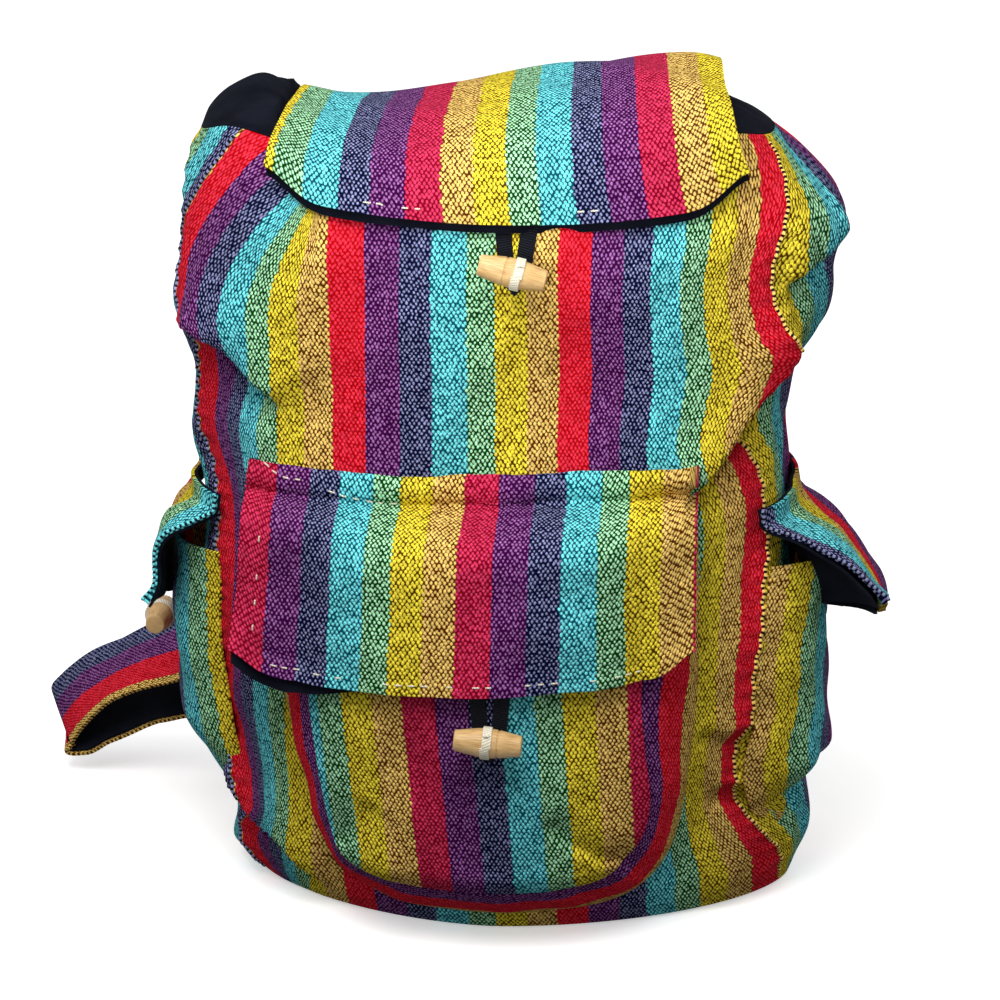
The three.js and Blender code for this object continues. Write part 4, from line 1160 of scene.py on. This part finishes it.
def side_half(side, to_front, z):
    """Distance from a side pocket's middle to its edge, which may follow the front panel's seam."""
    above = np.clip(z - SIDE_BOTTOM, 0, SIDE_CORNER)
    corner = SIDE_CORNER - np.sqrt(SIDE_CORNER ** 2 - (SIDE_CORNER - above) ** 2)
    front_half = SIDE_HALF
    if side["seam"]:
        front_half = SIDE_MIDDLE - loft(curve(side["seam"], z) + SIDE_SEAM_GAP, z)[..., 1]
    return np.where(to_front, front_half, SIDE_HALF) - corner


def side_stand(side, y, z):
    """Distance from the bag's side to the outer face of the side pocket."""
    across = np.clip((y - SIDE_MIDDLE) / side_half(side, y < SIDE_MIDDLE, z), -1, 1)
    up = np.clip((z - SIDE_BOTTOM) / (SIDE_TOP - SIDE_BOTTOM), 0, 1)
    swell = smooth(z, *side["swell"]) * mix(1, SIDE_MOUTH, smooth(up, SIDE_MOUTH_FROM, 1))
    open_at = smooth(up, SIDE_FLARE_FROM, 1) * smooth(-across, *SIDE_FLARE_ACROSS) * (1 - across ** 8)
    flare = side["flare"] * open_at
    seat = mix(SIDE_TUCK, SIDE_STAND, smooth(z - side["swell"][0], *SIDE_SEAT))
    return seat + side["puff"] * (1 - across ** 4) * swell + flare


def side_point(out, y, z, stand, seat):
    """A point off a side: square to the cloth up to the seat, and then straight out."""
    y, z = together(y, z)
    x, square = side_face(out, y, z)
    return np.stack([x + square[..., 0] * seat + out * (stand - seat), y + square[..., 1] * seat, z], -1)


def side_flap_grid(side, columns, rows):
    """The flap's points, and the distance of its columns from its front edge."""
    u, v = grid(columns, rows)
    out = side["out"]
    front = SIDE_MIDDLE - SIDE_FLAP_HALF
    y = SIDE_MIDDLE + out * (2 * u - 1) * SIDE_FLAP_HALF
    to_back = smooth(y, front, front + SIDE_FLAP_CORNER)
    drop = side["drop"] - side["corner_lift"] * (1 - to_back)
    hem_x = out * (BODY_WIDTH / 2 + side["reach"])

    def at_hinge(up, ease):
        return side_point(out, y, SIDE_FLAP_HINGE + up, SIDE_FLANGE_STAND + ease, SIDE_FLANGE_STAND)

    hinge = at_hinge(0, 0)
    stops = []
    for (front_down, front_out), (back_down, back_out) in zip(side["front_path"], side["back_path"]):
        x = mix(hinge[..., 0], hem_x, mix(front_out, back_out, to_back))
        z = SIDE_FLAP_HINGE - drop * mix(front_down, back_down, to_back)
        stops.append(np.stack([x, hinge[..., 1], z], -1))
    stops += [at_hinge(SIDE_FLAP_FLANGE * up, ease) for up, ease in SIDE_FLANGE_PATH]
    return spline(stops, v), y - front


side_flaps = {}
for side_name, side in SIDES.items():
    out = side["out"]
    pocket, flap = side_name + "_side_pocket", side_name + "_side_flap"
    u, v = np.meshgrid(*grid(56, 70))
    z = mix(SIDE_BOTTOM, SIDE_TOP, v ** 1.3)
    across = out * (2 * u - 1)
    y = SIDE_MIDDLE + across * side_half(side, across < 0, z)
    points = side_point(out, y, z, side_stand(side, y, z), SIDE_STAND)
    points = rough(points, height=0.9, size=36, seed=30 + out)
    round_pocket = lengths(points.transpose(1, 0, 2)).T
    from_front = round_pocket if out > 0 else round_pocket[:, -1:] - round_pocket
    cloth(pocket, points, cloth_map(side["pocket_phase"] - from_front, z), WOVEN,
          (110, 142), "stretched", [side_name + "_side_panel"])

    points, from_front = side_flap_grid(side, 56, 60)
    points = rough(points, height=0.9, size=34, seed=40 + out)
    weave = cloth_map(side["flap_phase"] + from_front, lengths(points))
    low = 1 - smooth(np.linspace(0, 1, len(points)), *SAG_FADE)[:, None]
    flap_y = SIDE_MIDDLE - SIDE_FLAP_HALF + from_front
    sag = np.zeros(points.shape)
    sag[..., 0] = -out * side["sag"] * np.exp(-((flap_y - SAG_Y) / SAG_REACH) ** 2) * low
    side_flaps[side_name] = flap_pieces(flap, points, weave, WOVEN, (101, 88), [pocket], 1.0, sag)

# Collar: black cotton gathered round the mouth, highest at the sides; reach and rise going in from the rim
COLLAR_LEFT = [[0, 1, 0], [1, 0.97, 0.4], [2, 0.9, 0.78], [3, 0.8, 1], [4, 0.7, 0.6], [5, 0.62, 0.1]]
COLLAR_RIGHT = [[0, 1, 0], [1, 0.94, 0.34], [2, 0.85, 0.76], [3, 0.76, 1], [4, 0.68, 0.6], [5, 0.62, 0.1]]
COLLAR_FRONT_RISE = 5.0
COLLAR_SIDE_RISE = (21.0, 14.0)
COLLAR_SIDES = 0.6
COLLAR_PEAK = 7
COLLAR_WAVES = 1.6
COLLAR_RADIUS = 70
COLLAR_WEAVE = (110, 60)
COLLAR_LIFT = 0.4
COLLAR_CLOTH = 1.4
PLEATS = 30
PLEAT_PACE = 1.6
PLEAT_RADIUS = 90
PLEAT_REACH = 0.003
PLEAT_HEIGHT = 0.3

# The collar stays under the flap's left half, up to its left side
COLLAR_UNDER_FLAP = 376.0
COLLAR_FREE = 426.0
FLAP_LEFT_SIDE = (98, 113)

u, v = np.meshgrid(*grid(264, 44))
angle = u * TURN
facing = np.cos(angle)
to_right = smooth(facing, -COLLAR_SIDES, COLLAR_SIDES)
level = v * COLLAR_LEFT[-1][0]
profile = mix(table(COLLAR_LEFT, level), table(COLLAR_RIGHT, level), to_right[..., None])
rise = mix(COLLAR_FRONT_RISE, mix(*COLLAR_SIDE_RISE, to_right), np.abs(facing) ** COLLAR_PEAK)
pleat = np.sin(PLEATS * angle + PLEAT_PACE * waves(PLEAT_RADIUS * angle, 0 * angle, size=80, seed=51))
pleat = pleat * smooth(v, 0.05, 0.4)
reach = profile[..., 0] * (1 + PLEAT_REACH * pleat)
wavy = waves(COLLAR_RADIUS * facing, COLLAR_RADIUS * np.sin(angle), size=60, seed=52)
lift = profile[..., 1] * (rise + COLLAR_WAVES * wavy) + PLEAT_HEIGHT * pleat * smooth(v, 0.1, 0.5)
rim_x, rim_y = np.moveaxis(outline_at(angle, BODY_HEIGHT), -1, 0)
height = BODY_HEIGHT + shoulder(rim_x, BODY_HEIGHT) + COLLAR_LIFT + lift
past_flap = np.maximum(smooth(-rim_x * reach, *FLAP_LEFT_SIDE), rim_x > 0)
height = np.minimum(height, mix(COLLAR_UNDER_FLAP, COLLAR_FREE, past_flap))
collar = np.stack([rim_x * reach, rim_y * reach, height], -1)
collar[:, -1] = collar[:, 0]
weave = cloth_map(angle * COLLAR_WEAVE[0], v * COLLAR_WEAVE[1])
cloth("mouth_collar", collar, weave, BLACK, (690, 33), "gathered", ["front_panel"], COLLAR_CLOTH, wrap=True)

# Shoulder straps: middle of the band and the direction across it, from the top of the back to a back seam
LEFT_STRAP = [
    (-50, 104, 238, 0.95, 0.3, 0), (-76, 122, 168, 0.8, 0.55, 0.2), (-112, 112, 118, 0.45, 0.75, 0.45),
    (-150, 93, 87, 0.15, 0.85, 0.5), (-180, 90, 73.5, 0.05, 0.8, 0.6), (-197, 92, 67, 0, 0.84, 0.52),
    (-212, 97, 58, -0.12, 0.88, 0.4), (-228, 102, 47, -0.3, 0.88, 0.36), (-240, 107, 33.5, -0.4, 0.85, 0.4),
    (-245, 110, 25.5, -0.42, 0.83, 0.43), (-243, 113, 19.5, -0.42, 0.85, 0.4),
    (-232, 113, 20, -0.35, 0.9, 0.35), (-217, 110, 27.5, -0.1, 0.93, 0.35), (-188, 106, 41, 0, 0.93, 0.35),
    (-165, 98, 52, 0, 0.8, 0.6),
]
RIGHT_STRAP = [
    (48, 112, 238, 1, 0, 0), (62, 152, 172, 1, 0, 0), (80, 186, 106, 1, 0, 0), (96, 202, 50, 1, 0, 0),
    (108, 193, 12, 1, 0, 0), (116, 160, 5, 1, 0, -0.1), (126, 118, 24, 0.6, 0.1, -0.75),
]
STRAP_WIDTH = 44.0
STRAP_CLOTH = 1.8
STRAP_TOP_X = 38.0
STRAP_TOP = 338.0
STRAP_SEWN = 38.0
STRAP_END = 46.0
STRAP_END_RUN = 22.0
STRAP_END_GAP = 0.9
STRAP_STACK = 4.3
STRAP_RIPPLE = 0.8
STRAP_RIPPLE_ACROSS = 20
STRAP_CALM = (0.1, 0.93)
STRAP_STRIPES = 50.0
STRAP_LINING_SHARE = 0.95
STRAP_PHASE = STRIPE_START["red"] - 4.5
FULLEST_BACK = 0.87


def strap_stops(name, side, free):
    """All stops of a strap: sewn to the back at its top, and into a back seam at its end."""
    top_y = section(BODY_HEIGHT * FULLEST_BACK)[3] + STRAP_STACK
    seam_angle = SEAM_ANGLES[name]
    seam_height = STRAP_END + STRAP_WIDTH / 2
    seam = outline_at(seam_angle, seam_height)
    ahead = unit(outline_at(seam_angle + 1e-3, seam_height) - seam)
    outside = np.array([ahead[1], -ahead[0]])
    first = [
        (side * STRAP_TOP_X, top_y, STRAP_TOP, 1, 0, 0),
        (side * STRAP_TOP_X, top_y + 0.5, STRAP_TOP - STRAP_SEWN, 1, 0, 0),
    ]
    last = [
        (*(seam + outside * STRAP_END_RUN), STRAP_END, 0, 0.3, -side),
        (*(seam + outside * STRAP_END_GAP), STRAP_END, 0, 0, -side),
    ]
    return np.array(first + free + last, float)


def strap_grid(stops, u, v):
    """A band along the stops, a little higher in its middle."""
    middle = spline(stops[:, :3], v)
    knots = spline_knots(stops[:, :3])
    wide = np.stack([np.interp(v, knots, column) for column in stops[:, 3:].T], -1)
    along = unit(np.gradient(middle, axis=0))
    wide = unit(wide - along * (wide * along).sum(1, keepdims=True))
    points = middle[:, None] + wide[:, None] * ((u - 0.5) * STRAP_WIDTH)[None, :, None]
    return points + grid_normals(points) * (1 - (2 * u - 1) ** 2)[None, :, None]


for side_name, side, free in (("left", -1, LEFT_STRAP), ("right", 1, RIGHT_STRAP)):
    strap = side_name + "_strap"
    u, v = grid(16, 260)
    points = strap_grid(strap_stops(side_name, side, free), u, v)
    ease = smooth(v, 0, STRAP_CALM[0]) * (1 - smooth(v, STRAP_CALM[1], 1))
    run_along = lengths(points)
    wavy = waves(run_along, STRAP_RIPPLE_ACROSS * u, size=50, seed=60 + side)
    ripple = ease[:, None] * STRAP_RIPPLE * wavy
    points = points + grid_normals(points) * ripple[..., None]
    flat = (STRAP_WIDTH, run_along[-1].mean())
    weave = cloth_map(STRAP_PHASE + STRAP_STRIPES * u, run_along)
    cloth(strap, points, weave, WOVEN_STRAP, flat, "hung", ["back_panel"], STRAP_CLOTH)
    lined = mix(points.mean(1, keepdims=True), points, STRAP_LINING_SHARE)
    lined = lined - grid_normals(points) * (STRAP_CLOTH + LINING_GAP)
    cloth(strap + "_lining", lined, weave, BLACK, flat, "hung", [strap], LINING)

# Toggles: a barrel with a groove, the thread wrapped round it, its knot, and the strands behind it
TOGGLE_HALF = 15.5
TOGGLE_RADIUS = 6.7
TOGGLE_END_RADIUS = 4.7
TOGGLE_ROUND = 0.8
TOGGLE_DISH = 0.3
GROOVE_DEPTH = 0.45
GROOVE_HALF = 0.45
GROOVE_RINGS = 0.7
GROOVE_CLEAR = 1.0
THREAD_RADIUS = 0.62
THREAD_WIDTH = 3.9
THREAD_TURNS = 5
THREAD_BED = 0.6
KNOT_RADIUS = 0.8
KNOT_OUT = 0.75
KNOT_ASIDE = 0.8
KNOT_HALF = 1.2
KNOT_BOW = 0.6
STRAND_RADIUS = 0.6
STRAND_SHIFT = 0.7
STRAND_START = 8.3
STRAND_END_GAP = 0.6


def barrel_radius(along, groove):
    """Radius of the barrel: fullest in the middle, narrower at the ends, with a groove cut round it."""
    share = np.abs(along) / TOGGLE_HALF
    radius = mix(TOGGLE_RADIUS, TOGGLE_END_RADIUS, smooth(share, 0.1, 1.15))
    from_end = np.clip((np.abs(along) - TOGGLE_HALF + TOGGLE_ROUND) / TOGGLE_ROUND, 0, 1)
    radius = radius - TOGGLE_ROUND * (1 - np.sqrt(np.maximum(1 - from_end ** 2, 0)))
    return radius - GROOVE_DEPTH * np.exp(-((along - groove) / GROOVE_HALF) ** 4)


def barrel_body(center, axis, outside, groove):
    """The barrel's rings, close together at its ends and its groove, and its hollow ends."""
    straight = TOGGLE_HALF - TOGGLE_ROUND
    along = np.concatenate([
        np.linspace(-TOGGLE_HALF, -straight, 7)[:-1],
        np.linspace(-straight, groove - GROOVE_CLEAR, 14),
        np.linspace(groove - GROOVE_RINGS, groove + GROOVE_RINGS, 11),
        np.linspace(groove + GROOVE_CLEAR, straight, 14),
        np.linspace(straight, TOGGLE_HALF, 7)[1:],
    ])
    radius = np.concatenate([[0], barrel_radius(along, groove), [0]])
    along = np.concatenate([[TOGGLE_DISH - TOGGLE_HALF], along, [TOGGLE_HALF - TOGGLE_DISH]])
    turn = np.linspace(0, TURN, 49)
    around = turning(axis, outside, turn)
    points = center + axis * along[:, None, None] + around[None] * radius[:, None, None]
    return points, cloth_map(turn[None] * TOGGLE_RADIUS, along[:, None])


def toggle_pieces(name, center, axis, outside, shank, wrap_at, groove_at):
    """A bamboo barrel, the thread wrapped round it and the strands that tie it to the cloth."""
    center, axis, outside = (np.array(value, float) for value in (center, axis, outside))
    piece = solid_piece(name, [barrel_body(center, axis, outside, groove_at)], BAMBOO)
    dress(piece, "bamboo", name, body=name)

    wrapped = center + axis * wrap_at
    radius = barrel_radius(np.array(wrap_at), groove_at) + THREAD_RADIUS * THREAD_BED
    share = np.linspace(0, 1, THREAD_TURNS * 30 + 1)
    coil = wrapped + axis * ((share - 0.5) * THREAD_WIDTH)[:, None]
    coil = coil + radius * turning(axis, outside, share * THREAD_TURNS * TURN)
    knot = wrapped + outside * (radius * KNOT_OUT) - np.cross(axis, outside) * (radius * KNOT_ASIDE)
    bow = np.linspace(-1, 1, 9)[:, None]
    knot = knot + axis * bow * KNOT_HALF + outside * (KNOT_BOW * (1 - bow ** 2))
    piece = solid_piece(name + "_thread", [tube(coil, THREAD_RADIUS), tube(knot, KNOT_RADIUS)], THREAD)
    dress(piece, "white_thread", name + "_thread", body=name)

    strands = []
    for shift in (-STRAND_SHIFT, STRAND_SHIFT):
        start = center - outside * STRAND_START + axis * shift
        end = start - outside * (shank - STRAND_END_GAP)
        strands.append(tube(np.linspace(start, end, 6), STRAND_RADIUS))
    piece = solid_piece(name + "_shank", strands, THREAD)
    dress(piece, "white_thread", name + "_shank")


def leaning(degrees):
    return (math.cos(math.radians(degrees)), 0, math.sin(math.radians(degrees)))


FORWARD = (0, -1, 0)
TOP_TOGGLE = (12.0, -103.237, 328.0)
POCKET_TOGGLE = (4.0, -138.649, 117.0)
toggle_pieces("top_toggle", TOP_TOGGLE, leaning(-13), FORWARD, shank=6, wrap_at=2.5, groove_at=-3.4)
toggle_pieces("front_pocket_toggle", POCKET_TOGGLE, leaning(-4), FORWARD,
              shank=3, wrap_at=-0.6, groove_at=4.8)
for side_name, side in SIDES.items():
    out = side["out"]
    toggle_pieces(side_name + "_side_toggle", side["toggle"], (0, out, 0), (out, 0, 0), side["shank"],
                  wrap_at=0, groove_at=4)

# Tape loops: two legs, spread at the top, that meet in a point below the toggle
TAPE_WIDTH = 7.2
TAPE_SPREAD = 4.0
TAPE_FAN = 3.0
TAPE_THICKNESS = 1.2
TAPE_BELOW = 14.0
TAPE_STAND = 1.7
TAPE_OVERLAP = 0.5
LOOP_TUCK = 10.0
LOOP_ON_POCKET = 8.0
TOP_LOOP_HEM = 342.0


def loop_piece(name, owner, top, toggle, at):
    toggle_height = toggle[2]
    length = top - toggle_height + TAPE_BELOW
    outer, inner = TAPE_SPREAD + TAPE_WIDTH / 2, TAPE_SPREAD - TAPE_WIDTH / 2
    low = length - TAPE_WIDTH * math.sqrt(2)
    knots = [0, 0.4, 0.5, 0.6, 1]
    u, v = grid(80, 6)

    def along(first, second):
        return mix(np.interp(u, knots, first)[None], np.interp(u, knots, second)[None], v[:, None])

    across = along([-outer, -outer, 0, outer, outer], [-inner, -inner, 0, inner, inner])
    down = along([0, length - outer, length, length - outer, 0], [0, low - inner, low, low - inner, 0])
    fan = TAPE_FAN * np.clip(1 - down / (top - toggle_height), 0, 1)
    stand = TAPE_STAND + TAPE_OVERLAP * smooth(u, 0.5, 0.62)[None]
    points = at(across + np.sign(across) * fan, top - down, stand)
    weave = cloth_map(v[:, None] * TAPE_WIDTH, u[None] * 2 * length)
    piece = cloth_piece(name, points, weave, TAPE, TAPE_THICKNESS)
    dress(piece, "black_tape", name)
    TRIMMINGS[owner].append(piece)


def on_front(across, z, stand):
    x = TOP_TOGGLE[0] + across
    return np.stack([x, front_y(x, z) - stand, z], -1)


def on_pocket(across, z, stand):
    x = POCKET_TOGGLE[0] + across
    return np.stack([x, pocket_y(x, z) - stand, z], -1)


loop_piece("top_flap_loop", "top_flap", TOP_LOOP_HEM + LOOP_TUCK, TOP_TOGGLE, on_front)
loop_piece("front_pocket_loop", "front_pocket_flap", FRONT_FLAP_HEM + LOOP_TUCK, POCKET_TOGGLE, on_pocket)
for side_name, side in SIDES.items():
    def on_side(across, z, stand, side=side):
        out = side["out"]
        y = side["toggle"][1] + out * across
        on_face = side_face(out, y, z)[0] + out * (side_stand(side, y, z) + stand)
        top_x = out * (BODY_WIDTH / 2 + side["loop_reach"])
        to_top = smooth(z, side["toggle"][2] + LOOP_ON_POCKET, side["loop_top"])
        return np.stack([mix(on_face, top_x, to_top), y, z], -1)

    flap = side_name + "_side_flap"
    loop_piece(side_name + "_side_loop", flap, side["loop_top"], side["toggle"], on_side)

# White stitches: short dashes, many of them sunk into the cloth and out of view
STITCH = 3.4
STITCH_GAP = 2.6
STITCH_RADIUS = 0.38
STITCH_BOW = 0.4
STITCH_SINK = 0.05
STITCH_START = 2

# Distances from the hem of the stitches along it and along the crease, and the place of those up the edge
HEM_STITCHES = 5.0
CREASE_STITCHES = float(np.median(lengths(front_flap)[-1])) - FRONT_FLAP_FLANGE
EDGE_COLUMN = 5
EDGE_ROWS = np.arange(15, 83)


def stitch_piece(name, owner, flap, rows, columns, shown, seed):
    """Dashes along some points of a flap's grid; shown is the share of them in view."""
    points, normals = flap[rows, columns], grid_normals(flap)[rows, columns]
    rng = np.random.default_rng(RNG_SEED + seed)
    dashes = []
    for start in np.arange(STITCH_START, lengths(points)[-1] - STITCH, STITCH + STITCH_GAP):
        if rng.uniform() > shown:
            continue
        at = np.linspace(start, start + STITCH * rng.uniform(0.6, 1), 6)
        bow = np.sin(np.linspace(0, math.pi, 6))[:, None] * STITCH_BOW
        path = along_line(points, points, at) + along_line(points, normals, at) * (bow - STITCH_SINK)
        dashes.append(tube(path, STITCH_RADIUS, 6))
    piece = solid_piece(name, dashes, THREAD)
    dress(piece, "white_thread")
    TRIMMINGS[owner].append(piece)


def row_stitches(name, owner, flap, distance, width, shown, seed):
    """Stitches along a flap at a distance from its hem, between two shares of its width."""
    first, last = (int(share * (flap.shape[1] - 1)) for share in width)
    columns = np.arange(first, last + 1)
    rows = np.argmin(np.abs(lengths(flap)[:, columns] - distance), axis=0)
    stitch_piece(name, owner, flap, rows, columns, shown, seed)


row_stitches("top_flap_stitches_left", "top_flap", top_flap, HEM_STITCHES, (0.2, 0.36), 0.8, seed=1)
row_stitches("top_flap_stitches_right", "top_flap", top_flap, HEM_STITCHES, (0.62, 0.8), 0.8, seed=2)
pocket_flap = ("front_pocket_flap", front_flap)
row_stitches("pocket_flap_stitches", *pocket_flap, HEM_STITCHES, (0.06, 0.94), 0.45, seed=3)
stitch_piece("pocket_flap_edge_stitches", *pocket_flap, EDGE_ROWS, EDGE_COLUMN, 0.45, seed=4)
row_stitches("pocket_crease_stitches", *pocket_flap, CREASE_STITCHES, (0.03, 0.42), 0.8, seed=5)

# Edging cords along the front panel's seams and the side flaps' front edges
SEAM_CORD_RADIUS = 1.0
FLAP_CORD_RADIUS = 0.9
CORD_GAP = 0.6
SEAM_CORD_LIFT = 0.3
SEAM_CORD_ENDS = (4, BODY_HEIGHT - 3)


def cord_piece(name, owner, path, radius, material):
    """A cord of small crowns along a path."""
    count = int(lengths(path)[-1] / BEAD_PITCH)
    path = resample(path, count * 6 + 1)
    crowns = np.abs(np.sin(np.linspace(0, count * math.pi, len(path))))
    piece = solid_piece(name, [tube(path, radius * mix(CORD_GAP, 1, crowns), 6)], material)
    dress(piece, "striped_cotton")
    TRIMMINGS[owner].append(piece)


seam_z = np.linspace(*SEAM_CORD_ENDS, 240)
for side_name, share, yarn in (("right", 1, "mustard"), ("left", 0, "slate")):
    path = bag_point(front_arc(0 * seam_z + share, seam_z), seam_z, SEAM_CORD_LIFT)
    cord_piece(side_name + "_seam_cord", "front_panel", path, SEAM_CORD_RADIUS, CORDS[yarn])
for side_name, front_column, yarn in (("left", -1, "cyan"), ("right", 0, "slate")):
    path = side_flaps[side_name][:, front_column]
    cord_piece(side_name + "_flap_cord", side_name + "_side_flap", path, FLAP_CORD_RADIUS, CORDS[yarn])

# Camera: azimuth 0 is in front, and grows to the right
CAMERA_AZIMUTH = math.radians(5)
CAMERA_ELEVATION = math.radians(18)
CAMERA_DISTANCE = 1.8
CAMERA_LENS = 134.1
CAMERA_TARGET = Vector((-0.0025, 0, 0.188))
level_share = math.cos(CAMERA_ELEVATION)
to_camera = Vector((
    math.sin(CAMERA_AZIMUTH) * level_share,
    -math.cos(CAMERA_AZIMUTH) * level_share,
    math.sin(CAMERA_ELEVATION),
))
camera = bpy.data.objects.new("camera", bpy.data.cameras.new("camera"))
camera.data.lens = CAMERA_LENS
camera.data.sensor_width = 36
camera.data.clip_end = 50
camera.location = CAMERA_TARGET + to_camera * CAMERA_DISTANCE
camera.rotation_euler = to_camera.to_track_quat("Z", "Y").to_euler()
bpy.context.scene.collection.objects.link(camera)
bpy.context.scene.camera = camera

# Light: a broad lamp above the front on the left, a beam on the upper front, and a soft dome that is
# brightest overhead
KEY_PLACE = (-0.1, -0.56, 0.95)
KEY_TARGET = (0, 0, 0.25)
KEY_SIZE = 0.6
KEY_POWER = 7.2
BEAM_PLACE = (-0.1, -1.0, 0.42)
BEAM_TARGET = (0.01, -0.09, 0.335)
BEAM_SIZE = 0.14
BEAM_POWER = 0.10
BEAM_SPREAD = 24.0
SKY_FADE = -0.3
SKY_BELOW = 0.10
SKY_HORIZON = 0.31
SKY_ZENITH = 0.95
WHITE = (1, 1, 1, 1)


def area_lamp(name, place, target, size, power):
    light = bpy.data.lights.new(name, "AREA")
    light.shape = "DISK"
    light.size = size
    light.energy = power
    lamp = bpy.data.objects.new(name, light)
    lamp.location = place
    lamp.rotation_euler = (Vector(place) - Vector(target)).to_track_quat("Z", "Y").to_euler()
    bpy.context.scene.collection.objects.link(lamp)
    return light


area_lamp("key_light", KEY_PLACE, KEY_TARGET, KEY_SIZE, KEY_POWER)
beam = area_lamp("beam_light", BEAM_PLACE, BEAM_TARGET, BEAM_SIZE, BEAM_POWER)
beam.spread = math.radians(BEAM_SPREAD)

world = bpy.data.worlds.new("studio")
world.use_nodes = True
sky = Nodes(world.node_tree)
up = sky.split(sky.add("TexCoord"))[2]
above = sky.span(up, 0, 1, 0, SKY_ZENITH - SKY_HORIZON, "LINEAR")
below = sky.span(up, SKY_FADE, 0, SKY_BELOW, SKY_HORIZON, "LINEAR")
background = world.node_tree.nodes["Background"]
background.inputs["Color"].default_value = WHITE
sky.feed(background.inputs["Strength"], above + below)
bpy.context.scene.world = world
bpy.context.scene.view_settings.view_transform = "Standard"

# Floor: white, and throwing no light on the bag
FLOOR_GLOW = 0.44
FLOOR_COLOR = (0.94, 0.94, 0.94, 1)
FLOOR_HEIGHT = -0.0005
floor_surface = Surface("floor")
floor_surface.shader.inputs["Emission Color"].default_value = WHITE
floor_surface.shader.inputs["Emission Strength"].default_value = FLOOR_GLOW
bpy.ops.mesh.primitive_plane_add(size=14, location=(0, 0, FLOOR_HEIGHT))
floor = bpy.context.object
floor.name = "floor"
floor.visible_diffuse = False
floor.data.materials.append(floor_surface.finish(FLOOR_COLOR, roughness=0.8, specular=0.05))
